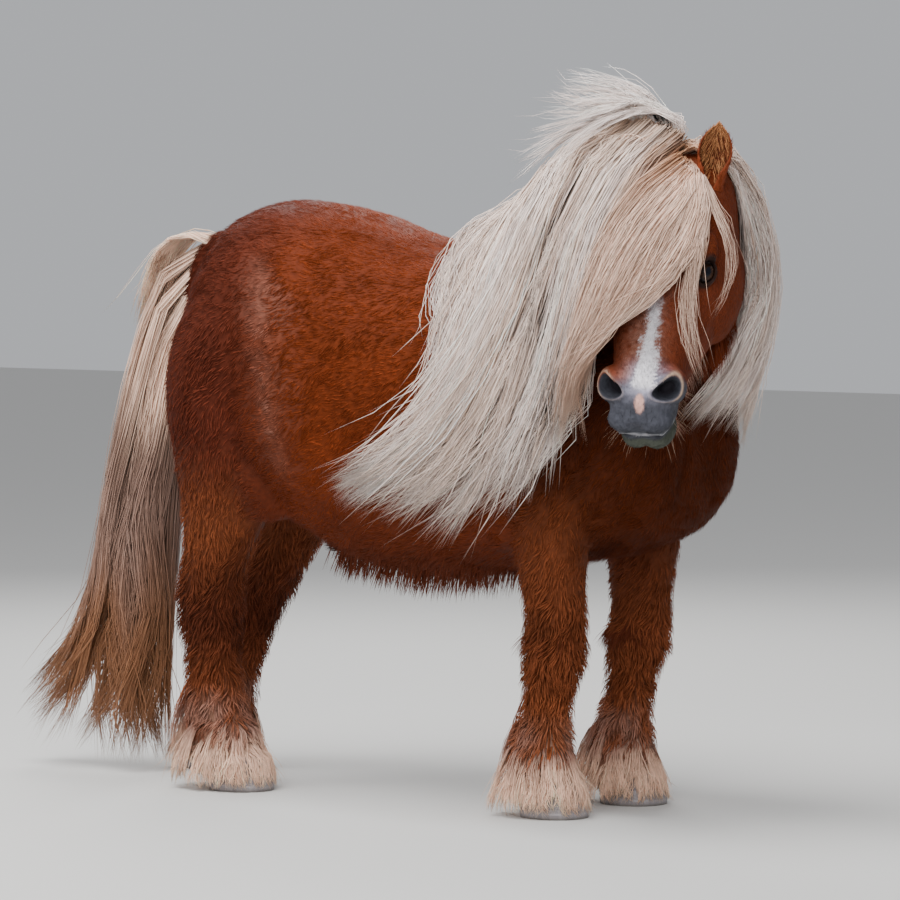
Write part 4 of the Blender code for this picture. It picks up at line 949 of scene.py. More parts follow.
def coat_colours(points, weights):
    """The colour of the coat at each place: a blend over the parts with painted shade on the neck,
    chest, belly, upper legs, hocks and knees, then the markings.
    """
    y, z = points[:, 1], points[:, 2]

    def plain(colour):
        return np.tile(colour, (len(points), 1))

    trunk = mixed(plain(CHESTNUT), RUMP_CHESTNUT, smooth_step(y, 0.42, 0.58))
    # The front of the trunk takes the neck's colour with its painted shade.
    trunk = mixed(trunk, NECK_CHESTNUT_SHADED, 1 - smooth_step(y, -0.12, 0.06))
    # The underside of the belly is painted darker, as shade.
    trunk = mixed(trunk, DARK_BROWN_AND_SHADE * 1.3, 0.75 * (1 - smooth_step(z, 0.38, 0.50)))
    fold = np.exp(-(((y - 0.455 - 0.25 * (z - 0.70)) / 0.022) ** 2)) * smooth_step(z, 0.50, 0.62)
    fold *= 1 - smooth_step(z, 0.84, 0.92)
    trunk = mixed(trunk, ROAN, 0.26 * fold * (0.8 + 0.5 * waves(points, 0.03, 24)))
    # Painted shade round the hocks and knees, stronger on the hind legs.
    joint_shade = np.exp(-(((z - 0.30) / 0.13) ** 2)) * (0.45 + 0.50 * smooth_step(y, 0.3, 0.4))
    leg = mixed(plain(LEG_CHESTNUT), DARK_BROWN_AND_SHADE, joint_shade)
    # The upper legs are painted darker, as shade: the tops of the hind legs at 0.8 of the rump, the
    # forearms like the shaded neck.
    upper = mixed(plain(RUMP_CHESTNUT * 0.8), NECK_CHESTNUT_SHADED, 1 - smooth_step(y, 0.2, 0.3))
    leg = mixed(leg, upper, smooth_step(z, 0.44, 0.60))
    speckle = 0.55 + 0.4 * waves(points, 0.05, 25)
    leg = mixed(leg, ROAN * 0.75, speckle * (1 - smooth_step(z, 0.12, 0.20)))
    leg = mixed(leg, PALE_HAIR, 1 - smooth_step(z + 0.012 * waves(points, 0.03, 26), 0.055, 0.105))
    parts = [trunk, plain(NECK_CHESTNUT_SHADED), plain(FACE_CHESTNUT), plain(RUMP_CHESTNUT * 0.9)]
    parts += [leg] * 4
    colours = sum(weights[:, [i]] * part for i, part in enumerate(parts))
    sheath = np.linalg.norm((points - SHEATH[0]) / (0.05, 0.08, 0.05), axis=1)
    colours = mixed(colours, SHEATH_DARK, 0.85 * (1 - smooth_step(sheath, 0.75, 1.0)))
    shade = 1.0 + 0.13 * waves(points * (1.0, 0.6, 1.0), 0.10, 27) + 0.08 * waves(points, 0.03, 28)
    colours = colours * shade[:, None]
    colours = face_colours(colours, points, smooth_step(weights[:, 2], 0.5, 0.9))
    return np.clip(colours, 0.0, BRIGHTEST)


# %% [markdown]
# ## Finishes
# Skin with short hair is soft and slightly glossy along the hair. Its base colour
# comes from the painted attribute, a fine noise breaks it up, and a noise drawn
# out along the body gives the grain of the short hair as a bump. Hair strands use
# the same plan with less roughness, since long flaxen hair shines more.


# %% A finish that reads the painted tone
def add_node(tree, kind, **values):
    """A node of a kind; each value goes to the input of that name, with _ for a space."""
    node = tree.nodes.new("ShaderNode" + kind)
    for name, value in values.items():
        node.inputs[name.replace("_", " ")].default_value = value
    return node


def toned_finish(name, roughness, grain, stretch, bump, mottle, gloss=0.5, coat=0.0):
    """Painted tone times a fine mottle, with a stretched noise as the bump."""
    material = bpy.data.materials.new(name)
    material.use_nodes = True
    tree = material.node_tree
    shader = tree.nodes["Principled BSDF"]
    for word, value in (("Roughness", roughness), ("Specular IOR Level", gloss),
                        ("Coat Weight", coat), ("Coat Roughness", 0.05)):
        shader.inputs[word].default_value = value
    tone = add_node(tree, "Attribute")
    tone.attribute_name = "tone"
    place = add_node(tree, "TexCoord")
    mapping = add_node(tree, "Mapping", Scale=stretch)
    noise = add_node(tree, "TexNoise", Scale=grain, Detail=3.0)
    spread = add_node(tree, "MapRange", From_Min=0.3, From_Max=0.7,
                      To_Min=1.0 - mottle, To_Max=1.0 + mottle)
    product = add_node(tree, "Mix")
    product.data_type, product.blend_type = "RGBA", "MULTIPLY"
    product.inputs[0].default_value = 1.0
    relief = add_node(tree, "Bump", Strength=bump, Distance=0.002)
    for start, end in (
            (place.outputs["Object"], mapping.inputs["Vector"]),
            (mapping.outputs["Vector"], noise.inputs["Vector"]),
            (noise.outputs["Fac"], spread.inputs["Value"]),
            (tone.outputs["Color"], product.inputs[6]),
            (spread.outputs["Result"], product.inputs[7]),
            (product.outputs[2], shader.inputs["Base Color"]),
            (noise.outputs["Fac"], relief.inputs["Height"]),
            (relief.outputs["Normal"], shader.inputs["Normal"])):
        tree.links.new(start, end)
    return material


skin_finish = toned_finish("short_coat_skin", 0.62, 260.0, (1.0, 0.35, 0.45), 0.55, 0.22, gloss=0.06)
tuft_finish = toned_finish("coat_tufts", 0.60, 90.0, (1.0, 1.0, 1.0), 0.0, 0.12, gloss=0.05)
flaxen_finish = toned_finish("flaxen_hair", 0.48, 60.0, (1.0, 1.0, 0.5), 0.0, 0.08, gloss=0.25)

# %% Paint the skin
# The skin shows between the tufts. It is painted darker than their tips, as the shade that falls
# between the hairs, but not on the bare muzzle.
SHADE_BETWEEN_TUFTS = 0.62

points = points_of(skin)
weights, lie, nearest = read_parts(points)
bare_skin = smooth_step(to_head(points)[:, 1], 0.35, 0.39) * weights[:, 2]
painted(skin, coat_colours(points, weights) * (SHADE_BETWEEN_TUFTS + (1 - SHADE_BETWEEN_TUFTS) * bare_skin)[:, None])
skin_points, skin_normals = points, normals_of(skin)
skin.data.calc_loop_triangles()
skin_faces = np.zeros(len(skin.data.loop_triangles) * 3, np.int32)
skin.data.loop_triangles.foreach_get("vertices", skin_faces)
skin_faces = skin_faces.reshape(-1, 3)
skin_tree = BVHTree.FromPolygons([Vector(p) for p in skin_points], skin_faces.tolist())
finished(skin, skin_finish, "coat", "head", "neck", "torso", "tail",
         *["leg_" + name for name in LEGS], "ear_left", "ear_right")

# %% [markdown]
# ## An unwrap for the hair
# A finish that is baked for export needs a flat place for each tuft. Every tube of
# the body is rolled out like a label from a jar: the angle round it runs across,
# the length along it runs up, and each tube has its own rectangle. A tuft then
# takes a tiny patch at the place of its root.

# %% Roll the skin out, tube by tube
# The rectangle of each part: its left and lower edge, its width and its height.
CHARTS = np.array([
    (0.01, 0.01, 0.58, 0.46), (0.01, 0.50, 0.34, 0.20), (0.38, 0.50, 0.30, 0.30),
    (0.72, 0.50, 0.10, 0.20), *[(left, 0.01, 0.08, 0.46) for left in (0.62, 0.71, 0.80, 0.89)]])
# The side of one tuft's patch.
PATCH = 0.003


def sample_axes():
    """For each sample the way along its tube, across it and up from it, and the length."""
    ways, lengths = np.zeros_like(MIDDLES), np.zeros(len(MIDDLES))
    for part in range(PART_COUNT):
        own = PARTS == part
        ways[own] = unit(np.gradient(MIDDLES[own], axis=0))
        lengths[own] = np.linalg.norm(np.diff(MIDDLES[own], axis=0), axis=1).sum()
    steep = np.abs(ways[:, [2]]) > 0.8
    hint = np.where(steep, (0.0, 1.0, 0.0), (0.0, 0.0, 1.0))
    across = unit(np.cross(ways, hint))
    return ways, across, np.cross(across, ways), lengths


WAYS, ACROSS, UPS, LENGTHS = sample_axes()


def unwrapped(points, nearest):
    """Angle round the nearest tube and length along it, inside that tube's rectangle."""
    away = points - MIDDLES[nearest]
    angle = np.arctan2((away * UPS[nearest]).sum(1), (away * ACROSS[nearest]).sum(1))
    along = ALONGS[nearest] + (away * WAYS[nearest]).sum(1) / LENGTHS[nearest]
    chart = CHARTS[PARTS[nearest]]
    u = chart[:, 0] + chart[:, 2] * (angle / (2 * np.pi) + 0.5)
    return np.stack([u, chart[:, 1] + chart[:, 3] * np.clip(along, 0.0, 1.0)], axis=1)


# %% [markdown]
# ## One way to make all the hair
# A tuft of the coat, a strand of the mane and a whisker are the same thing at
# different sizes: a three-sided blade that tapers to a point. So one function
# takes the middle lines of many blades as one array and returns one mesh.


# %% Blades from middle lines
def blades(name, lines, sides, outs, half, thick, colours, roots):
    """One mesh of blades: rings left, right and top at each place, then a tip.

    lines is (blades, rings + 1, 3); left and right are line +/- side * half, and
    top is line + out * thick. A blade of n rings has 6 (n - 1) + 4 triangles.
    """
    count, steps = lines.shape[0], lines.shape[1] - 1
    body = lines[:, :-1]
    left = body + sides * half[..., None]
    right = body - sides * half[..., None]
    top = body + outs * thick[..., None]
    ringed = np.stack([left, right, top], axis=2).reshape(count, steps * 3, 3)
    points = np.concatenate([ringed, lines[:, -1:]], axis=1)
    faces = [(0, 1, 2)]
    for step in range(steps - 1):
        l0, r0, t0, l1, r1, t1 = range(3 * step, 3 * step + 6)
        faces += [(l0, t0, t1), (l0, t1, l1), (r0, r1, t0), (r1, t1, t0), (l0, l1, r0), (l1, r1, r0)]
    left, right, top = range(3 * steps - 3, 3 * steps)
    faces += [(left, top, 3 * steps), (right, 3 * steps, top), (left, 3 * steps, right)]
    each = 3 * steps + 1
    triangles = (np.array(faces)[None] + each * np.arange(count)[:, None, None]).reshape(-1, 3)
    made = add_mesh(name, points.reshape(-1, 3), triangles)
    tones = np.concatenate([np.repeat(colours[:, :-1], 3, axis=1), colours[:, -1:]], axis=1)
    painted(made, np.clip(tones.reshape(-1, 3), 0.0, BRIGHTEST))
    rise = np.append(np.repeat(np.arange(steps) / steps, 3), 1.0)
    shift = np.append(np.tile((0.0, 1.0, 0.5), steps), 0.5)
    patch = np.stack([shift, rise], axis=1) * PATCH
    flat = (roots[:, None] + patch[None]).reshape(-1, 2).astype(np.float32)
    layer = made.data.uv_layers.new(name="OFBake")
    layer.data.foreach_set("uv", flat[triangles.ravel()].ravel())
    return made


def scattered(count, density):
    """Random places on the skin: a face by its area times the density, then a spot in it."""
    a, b, c = (skin_points[skin_faces[:, i]] for i in range(3))
    chance = np.linalg.norm(np.cross(b - a, c - a), axis=1) * density((a + b + c) / 3)
    chosen = rng.choice(len(chance), count, p=chance / chance.sum())
    u, v = rng.random((2, count, 1))
    u, v = np.where(u + v > 1, 1 - u, u), np.where(u + v > 1, 1 - v, v)
    corner = skin_faces[chosen]
    points = a[chosen] + u * (b - a)[chosen] + v * (c - a)[chosen]
    near = [skin_normals[corner[:, i]] for i in range(3)]
    return points, unit(near[0] * (1 - u - v) + near[1] * u + near[2] * v)


# %% [markdown]
# ## The short coat
# Flat-lying hair is mostly the skin's bump, and these tufts break the form. Each
# one starts just under the skin, lies along the coat and lifts its tip a little.
# The length follows the part: shortest on the face, long under the belly and
# shaggy on the legs. Slow random waves turn neighbouring tufts the same way, as
# wind and weather clump a real coat.

# %% Lengths of the coat
# For each part: length, half width, how far a tip stands out of the skin.
COAT = np.array([
    (0.018, 0.0011, 0.0028), (0.018, 0.0011, 0.0028), (0.0075, 0.0008, 0.0010),
    (0.022, 0.0016, 0.0040), *[(0.021, 0.0013, 0.0050)] * 4])


def short_coat(name, count, density, rings_each=1):
    """Tufts over the part of the skin that the density picks out."""
    points, normals = scattered(count, density)
    weights, lie, nearest = read_parts(points)
    length, half, lift = (weights @ COAT).T
    z = points[:, 2]
    belly = weights[:, 0] * (1 - smooth_step(z, 0.40, 0.47)) * smooth_step(-normals[:, 2], 0.1, 0.6)
    shank = weights[:, 4:].sum(axis=1) * (1 - smooth_step(z, 0.30, 0.42))
    length = length * (1 + 0.7 * belly + 0.45 * shank) * rng.uniform(0.7, 1.25, count)
    lift = lift * (1 + 2.0 * belly + 0.9 * shank) * rng.uniform(0.3, 1.6, count)
    turn = 0.45 * waves(points, 0.070, 31) + 0.25 * waves(points, 0.025, 32)
    turn += (0.5 * shank) * waves(points, 0.040, 33) + rng.normal(0, 0.14, count)
    flat = unit(lie - normals * (lie * normals).sum(1, keepdims=True))
    side = np.cross(normals, flat)
    flat = unit(flat + side * turn[:, None])
    side = np.cross(normals, flat)
    t = np.linspace(0.0, 1.0, rings_each + 1)[None, :, None]
    arch = lift[:, None, None] * (t ** 0.8 if rings_each == 1 else np.sin(t * 1.9) / 0.946)
    lines = points[:, None] + flat[:, None] * (length[:, None, None] * t)
    lines += normals[:, None] * (arch - 0.0012 * (1 - t))
    lines[..., 2] = np.maximum(lines[..., 2], SKIN_FLOOR)
    along = t[:, :-1, 0]
    half = half[:, None] * rng.uniform(0.7, 1.3, (count, 1)) * (1 - 0.5 * along)
    colours = coat_colours(points, weights)
    # Each tuft is painted darker at its root and lighter at its tip, as shade deep in the coat.
    tone = rng.normal(1.0, 0.11, (count, 1, 1)) * (0.85 + 0.45 * t)
    ends = np.broadcast_to(side[:, None], (count, rings_each, 3))
    tops = np.broadcast_to(normals[:, None], (count, rings_each, 3))
    return blades(name, lines, ends, tops, half, half * 0.45, colours[:, None] * tone,
                  unwrapped(points, nearest))


def clear_of_openings(points):
    """1 on furred skin, 0 over the eyes, in the nostrils and along the mouth."""
    keep = np.ones(len(points))
    for word, side in SIDES.items():
        own, ring = oval_distance(points, eyes[word][0], eye_axes(side), LID_HALF_LONG, LID_HALF_HIGH)
        keep *= (ring > 1.5) | (own[:, 2] < -0.02)
        own, ring, _ = nostril_reading(points, side, nostrils[word])
        keep *= (ring > 1.12) | (np.abs(own[:, 2]) > 0.04)
    head = to_head(points)
    bare = smooth_step(head[:, 1], 0.36, 0.39) * (np.linalg.norm(head, axis=1) < 0.5)
    return keep * (1 - 0.65 * bare)


face_middles = skin_points[skin_faces].mean(axis=1)
face_weights = read_parts(face_middles)[0]


def on_parts(parts, extra=None):
    """A density that is the share of the given parts, times an extra pattern."""
    share = face_weights[:, parts].sum(axis=1) ** 2
    return lambda middles: share * (1.0 if extra is None else extra(middles))


MANY = 1.0 if FINE else 0.3
pieces = [
    short_coat("coat_trunk_left", int(38000 * MANY), on_parts([0, 3], lambda p: p[:, 0] > 0)),
    short_coat("coat_trunk_right", int(38000 * MANY), on_parts([0, 3], lambda p: p[:, 0] <= 0)),
    short_coat("coat_neck", int(10000 * MANY), on_parts([1])),
    short_coat("coat_head", int(22000 * MANY), on_parts([2], clear_of_openings)),
]
for number, name in enumerate(LEGS):
    pieces.append(short_coat("coat_leg_" + name, int(6500 * MANY), on_parts([4 + number]), 2))
hair_finished(pieces, tuft_finish, "coat")

# %% [markdown]
# ## Long hair from guides
# The mane, forelock and tail blow back in the wind of the photograph. A few guide
# lines, from the root on the crest to the tip, say where the hair goes. Locks are
# read off between the guides, kept clear of the skin, and each lock is filled with
# strands that spread in its middle and gather at its tip.

# %% Guide lines
def guides_mm(text):
    """Guides in metres, written in millimetres: x y z, x y z, ... and a ; between guides."""
    return [[tuple(float(value) / 1000 for value in place.split()) for place in guide.split(",")]
            for guide in text.split(";")]


MANE_RIGHT = guides_mm("""
    -125 -250 1062, -120 -294 1107, -200 -270 1057, -270 -246 948, -310 -237 840, -320 -221 740,
     -310 -180 636, -290 -136 571;
    -105 -205 1060, -110 -245 1130, -180 -202 1081, -260 -178 971, -300 -149 838, -310 -106 712,
     -300 -33 584, -280 77 476;
    -75 -160 1045, -100 -184 1135, -160 -130 1089, -240 -100 963, -290 -58 821, -300 0 694,
     -295 90 583, -285 223 527;
    -45 -110 1020, -80 -102 1124, -130 -40 1060, -210 -19 938, -260 9 803, -280 53 695,
     -285 130 607, -280 259 530;
    -15 -45 985, -50 8 1073, -90 48 993, -160 63 897, -220 66 801, -255 76 722, -270 105 650,
     -275 165 592;
    -5 30 957, -30 92 995, -60 125 969, -110 152 944, -150 161 895, -180 140 851, -200 101 823,
     -215 60 800""")
MANE_STREAM = guides_mm("""
    -125 -255 1060, -118 -292 1112, -135 -235 1137, -175 -160 1108, -220 -85 1030;
    -100 -205 1055, -100 -244 1123, -90 -179 1162, -75 -108 1188, -60 -33 1198;
    -70 -155 1040, -90 -177 1128, -90 -102 1137, -70 -26 1144, -60 30 1151;
    -35 -90 1005, -60 -59 1108, -70 -7 1089, -80 30 1057, -90 74 1012""")
MANE_LEFT = guides_mm("""
    -120 -240 1058, -115 -318 1080, -80 -335 1025, -45 -346 960, -25 -347 880, -25 -334 785,
     -35 -302 705, -55 -258 660;
    -110 -235 1060, -90 -331 1088, -40 -345 1033, 0 -356 965, 20 -357 883, 20 -344 787, 10 -312 707,
     -10 -268 662;
    -90 -190 1055, -50 -300 1085, 10 -320 1020, 55 -338 930, 70 -337 842, 75 -320 761, 70 -295 697,
     60 -260 648;
    -50 -120 1025, 40 -170 1030, 100 -220 950, 130 -250 870, 150 -250 790, 160 -240 720,
     160 -230 660, 150 -220 610;
    -5 -10 970, 60 -20 985, 130 -30 920, 180 -30 840, 210 -30 770, 225 -25 710, 230 -15 660,
     230 0 610""")
FORELOCK = guides_mm("""
    -135 -275 1060, -150 -315 1073, -210 -290 1041, -270 -261 979, -310 -237 894, -335 -220 801,
     -340 -201 708, -335 -175 621;
    -140 -290 1060, -180 -331 1038, -240 -310 987, -300 -286 918, -335 -268 833, -345 -246 756,
     -345 -228 678;
    -143 -300 1058, -190 -346 1010, -250 -336 956, -310 -322 887, -340 -295 818, -352 -256 756,
     -352 -226 694;
    -146 -310 1055, -190 -361 987, -250 -383 921, -300 -366 866, -330 -325 834, -350 -272 784,
     -355 -240 730""")
FACE_STRANDS = guides_mm("""
    -148 -318 1052, -190 -370 987, -240 -395 926, -270 -393 864, -280 -389 811, -290 -411 764,
     -290 -432 723;
    -148 -322 1050, -170 -377 987, -180 -407 952, -190 -429 910, -200 -426 871, -220 -412 838""")
TAIL = guides_mm("""
    0 770 920, 0 855 905, 0 912 800, 0 950 677, 0 987 555, 0 1012 432, 0 1029 335, 0 1076 246,
     0 1132 180, 0 1180 150;
    0 805 870, 0 852 835, 0 890 739, 0 926 609, 0 956 469, 0 979 364, 0 1011 266, 0 1048 203,
     0 1085 134, 0 1130 80;
    0 812 800, 0 842 760, 0 868 661, 0 892 523, 0 913 384, 0 925 262, 0 932 157, 0 939 61;
    0 790 730, 0 820 690, 0 846 608, 0 862 490, 0 872 351, 0 880 230, 0 882 125, 0 878 53""")
TAIL_FAN = guides_mm("""
    -20 765 915, -25 810 930, -30 850 920, -35 885 880, -37 905 830, -37 920 780;
    20 765 915, 25 810 930, 30 850 920, 35 885 880, 37 905 830, 37 920 780""")
TAIL_HALF_WIDTH = 0.055


# %% Lines for locks, and strands for each lock
def resampled(line, count):
    """A line read at count places evenly along its length."""
    steps = np.linalg.norm(np.diff(line, axis=0), axis=1)
    at = np.concatenate([[0.0], np.cumsum(steps)])
    wanted = np.linspace(0.0, at[-1], count)
    return np.stack([np.interp(wanted, at, line[:, i]) for i in range(3)], axis=1)


def between(guides, shares, count):
    """Lines part of the way across a row of guides: (1 - f) * one guide + f * the next."""
    smooth = np.stack([resampled(read_along(guide, 24), count) for guide in guides])
    place = np.clip(shares, 0.0, 1.0) * (len(guides) - 1)
    first = np.minimum(place.astype(int), len(guides) - 2)
    part = (place - first)[:, None, None]
    return smooth[first] * (1 - part) + smooth[first + 1] * part


def nearest_skin(points):
    """The nearest place of the skin to each point, and the way out of it there."""
    found = [skin_tree.find_nearest(Vector(point)) for point in points.reshape(-1, 3)]
    places = np.array([hit[0][:] for hit in found]).reshape(points.shape)
    outs = np.array([hit[1][:] for hit in found]).reshape(points.shape)
    return places, outs


def laid(lines, clear, lift):
    """Lines pulled towards the skin by 1 - lift, rooted in it, and kept clear of it."""
    places, outs = nearest_skin(lines)
    lines = places + (lines - places) * lift[:, None, None]
    lines[:, 0] = places[:, 0] - outs[:, 0] * 0.004
    for _ in range(2):
        places, outs = nearest_skin(lines[:, 1:])
        height = ((lines[:, 1:] - places) * outs).sum(axis=2)
        close = np.linalg.norm(lines[:, 1:] - places, axis=2) < 0.25
        short = np.maximum(clear - height, 0.0) * close
        lines[:, 1:] += outs * short[..., None]
    lines[..., 2] = np.maximum(lines[..., 2], LOCK_FLOOR)
    return lines, np.concatenate([outs[:, :1], outs], axis=1)


# Hair that blows out past these places, on the right, behind or above, is drawn back
# by a share of the excess.
HAIR_SIDE = CAD_BOX[0][0] - SHIFT[0] - 0.010
HAIR_BACK = CAD_BOX[1][1] - SHIFT[1] + 0.020
HAIR_TOP = CAD_BOX[1][2] + 0.020
DRAWN_BACK = 0.7
# The longest strand as a share of its lock, the share of strands that stray, how far
# they stray to the side and outwards, and how much of a strand's width its tip loses.
LONGEST = 1.06
STRAY_SHARE, STRAY_SIDE, STRAY_OUT = 0.12, 0.06, 0.04
TIP_LOSS = 0.65
DENSE = 1.0 if FINE else 0.35


def strands(name, locks, outs, each, width, spread, wave, tones, steps=9, loose=0.25, short=0.30):
    """Fills locks with strands: lock line + side * a * spread(t) + out * b * spread(t) + wave(t).

    spread holds the lock's half width at root, middle and tip; a and b are drawn
    once for each strand. Shorter strands stop part of the way along.
    """
    each = int(each * DENSE)
    count = len(locks) * each
    which = np.repeat(np.arange(len(locks)), each)
    share = LONGEST - short * rng.random(count) ** 1.5
    t = share[:, None] * np.linspace(0.0, 1.0, steps + 1)[None]
    at = t * (locks.shape[1] - 1)
    low = np.minimum(at.astype(int), locks.shape[1] - 2)
    part = (at - low)[..., None]
    rows = which[:, None]
    lines = locks[rows, low] * (1 - part) + locks[rows, low + 1] * part
    out = unit(outs[rows, low] * (1 - part) + outs[rows, low + 1] * part)
    ways = unit(np.gradient(lines, axis=1))
    side = unit(np.cross(ways, out))
    out = np.cross(side, ways)
    a, b = rng.normal(0, 0.5, (2, count, 1))
    wide = np.interp(t, (0.0, 0.45, 1.0), spread)
    stray = loose * (rng.random((count, 1)) < STRAY_SHARE) * rng.normal(0, 1.0, (count, 1))
    turns = t * rng.uniform(0.8, 2.2, (count, 1)) + rng.random((count, 1))
    wobble = wave * t * np.sin(2 * np.pi * turns)
    lines = lines + side * (a * wide + wobble + stray * STRAY_SIDE * t**2)[..., None]
    lines += out * (np.abs(b) * wide * 0.55 + np.abs(stray) * STRAY_OUT * t**2)[..., None]
    lines[..., 2] = np.maximum(lines[..., 2], HAIR_FLOOR)
    lines[..., 0] += np.maximum(HAIR_SIDE - lines[..., 0], 0.0) * DRAWN_BACK
    lines[..., 1] -= np.maximum(lines[..., 1] - HAIR_BACK, 0.0) * DRAWN_BACK
    lines[..., 2] -= np.maximum(lines[..., 2] - HAIR_TOP, 0.0) * DRAWN_BACK
    half = width / 2 * rng.uniform(0.6, 1.4, (count, 1))
    half = half * (1 - TIP_LOSS * t[:, :-1] / share[:, None])
    colours = tones(which, t, lines) * rng.normal(1.0, 0.10, (count, 1, 1))
    colours = colours * rng.normal(1.0, 0.07, (len(locks), 1, 1))[which]
    _, _, nearest = read_parts(lines[:, 0])
    return blades(name, lines, side[:, :-1], out[:, :-1], half, half * 0.8, colours,
                  unwrapped(lines[:, 0], nearest))


def swayed(lines, outs, amount, turns):
    """Each lock with its own slow wave to the side that grows towards the tip."""
    count, places, _ = lines.shape
    t = np.linspace(0.0, 1.0, places)[None]
    ways = unit(np.gradient(lines, axis=1))
    side = unit(np.cross(ways, outs))
    phase = rng.random((count, 1)) + t * rng.uniform(*turns, (count, 1))
    return lines + side * (amount * t * np.sin(2 * np.pi * phase))[..., None]


def hung(guides, count, clear, sway, turns=(0.6, 1.3), places=16, inner=0.45, gather=0.0):
    """Locks between guides: spread evenly, some near the skin and some at the guides.

    gather draws the locks towards the nearest guide: 0 leaves them, 1 puts them on it.
    """
    shares = (np.arange(count) + rng.random(count)) / count
    steps = len(guides) - 1
    shares += (np.round(shares * steps) / steps - shares) * gather
    lines = between(guides, shares, places)
    lift = inner + (1 - inner) * rng.random(count) ** 0.6
    lines, outs = laid(lines, clear, lift)
    return swayed(lines, outs, sway, turns), outs


# %% [markdown]
# ## Colours of the long hair
# The mane is cream where the light falls on it and tan in its depth, with a
# ginger patch by the ear. The tail starts pale at the dock, darkens through the
# middle and ends ginger.

# %% Named colours of long hair
FLAXEN = np.array((0.900, 0.770, 0.710))
FLAXEN_SHADE = np.array((0.600, 0.410, 0.290))
FORELOCK_TAN = np.array((0.780, 0.550, 0.430))
GINGER = np.array((0.420, 0.190, 0.080))
TAIL_PALE = np.array((0.880, 0.600, 0.450))
TAIL_DEEP = np.array((0.280, 0.170, 0.130))
TAIL_GINGER = np.array((0.280, 0.125, 0.060))


def faded(first, second, root_share=0.0):
    """Tones that go from a first colour at the root to a second towards the tip."""
    def tones(which, t, lines):
        share = smooth_step(t, root_share, root_share + 0.35)[..., None]
        base = first * (1 - share) + second * share
        streak = waves(lines.reshape(-1, 3) * (1.0, 1.0, 0.25), 0.030, 41).reshape(t.shape)
        return base * (1.0 + 0.10 * streak)[..., None]
    return tones


LOCK_TINT = rng.random(200) ** 2
POLL_STREAK = np.array([(-0.150, -0.310, 1.078), (-0.270, -0.265, 0.985)])


def with_poll_patch(base, lines):
    """A ginger patch beside the ear and a streak of it that runs down the forelock."""
    way = POLL_STREAK[1] - POLL_STREAK[0]
    along = np.clip((lines - POLL_STREAK[0]) @ way / (way @ way), 0.0, 1.0)
    apart = np.linalg.norm(lines - POLL_STREAK[0] - along[..., None] * way, axis=2)
    ragged = 0.012 * waves(lines.reshape(-1, 3), 0.030, 44).reshape(along.shape)
    patch = (1 - smooth_step(apart + ragged, 0.012, 0.052)) * (0.95 - 0.70 * along)
    return base * (1 - patch[..., None]) + GINGER * patch[..., None]


def mane_tones(which, t, lines):
    """Cream, with tan at the root as painted shade, and tan in some of the locks."""
    base = faded(FLAXEN_SHADE, FLAXEN)(which, t, lines)
    base += (FLAXEN_SHADE - base) * (0.60 * LOCK_TINT[which])[:, None, None]
    return with_poll_patch(base, lines)


def stream_tones(which, t, lines):
    """Plain cream, but for the ginger patch."""
    return with_poll_patch(faded(FLAXEN, FLAXEN)(which, t, lines), lines)


def forelock_tones(which, t, lines):
    """Cream tan, deeper in some locks and towards the tips."""
    base = faded(FORELOCK_TAN * 1.05, FORELOCK_TAN * 0.92)(which, t, lines)
    base += (GINGER - base) * (0.30 * LOCK_TINT[which])[:, None, None]
    return with_poll_patch(base, lines)


def tail_tones(which, t, lines):
    """Pale at the dock, deep in the middle, ginger at the tip, by height."""
    height = lines[..., 2] + 0.06 * waves(lines.reshape(-1, 3), 0.12, 42).reshape(t.shape)
    low = smooth_step(height, 0.52, 0.72)[..., None]
    base = TAIL_DEEP * (1 - low) + TAIL_PALE * low
    end = (1 - smooth_step(height, 0.22, 0.42))[..., None]
    base = base * (1 - end) + TAIL_GINGER * end
    outer = smooth_step(lines[..., 1] - 0.9, -0.05, 0.10)[..., None]
    return base * (0.85 + 0.35 * outer)


# %% Hang the mane and the forelock
locks, outs = hung(MANE_RIGHT, 120, 0.010, 0.020, (1.0, 2.0))
hair = [
    strands(f"mane_right_{number + 1}", locks[some], outs[some], 42, 0.0026,
            (0.010, 0.017, 0.007), 0.009, mane_tones, 8, 0.45, 0.35)
    for number, some in enumerate((slice(0, 60), slice(60, 120)))]
hair += [
    strands("mane_left", *hung(MANE_LEFT, 60, 0.010, 0.018, (1.0, 2.0)), 34, 0.0028,
            (0.010, 0.018, 0.007), 0.007, mane_tones, 8),
    strands("mane_stream", *hung(MANE_STREAM, 26, 0.008, 0.014, inner=0.9), 26, 0.0018,
            (0.007, 0.009, 0.014), 0.008, stream_tones, 8, 0.5, 0.5),
    strands("forelock", *hung(FORELOCK, 56, 0.008, 0.016, (1.0, 2.2)), 38, 0.0024,
            (0.007, 0.012, 0.007), 0.008, forelock_tones, 8, 0.45, 0.35)]
# Of the locks that end nearest the second guide, behind the eye, one in three stays.
locks, outs = hung(FACE_STRANDS, 16, 0.004, 0.009, inner=0.5, gather=0.70)
tips = [np.linalg.norm(locks[:, -1] - np.array(guide[-1]), axis=1) for guide in FACE_STRANDS]
thinned = (tips[0] < tips[1]) | (np.cumsum(tips[1] < tips[0]) % 3 == 1)
hair.append(strands("face_strands", locks[thinned], outs[thinned], 12, 0.0013,
                    (0.003, 0.010, 0.012), 0.006, forelock_tones, 8, 0.4, 0.5))


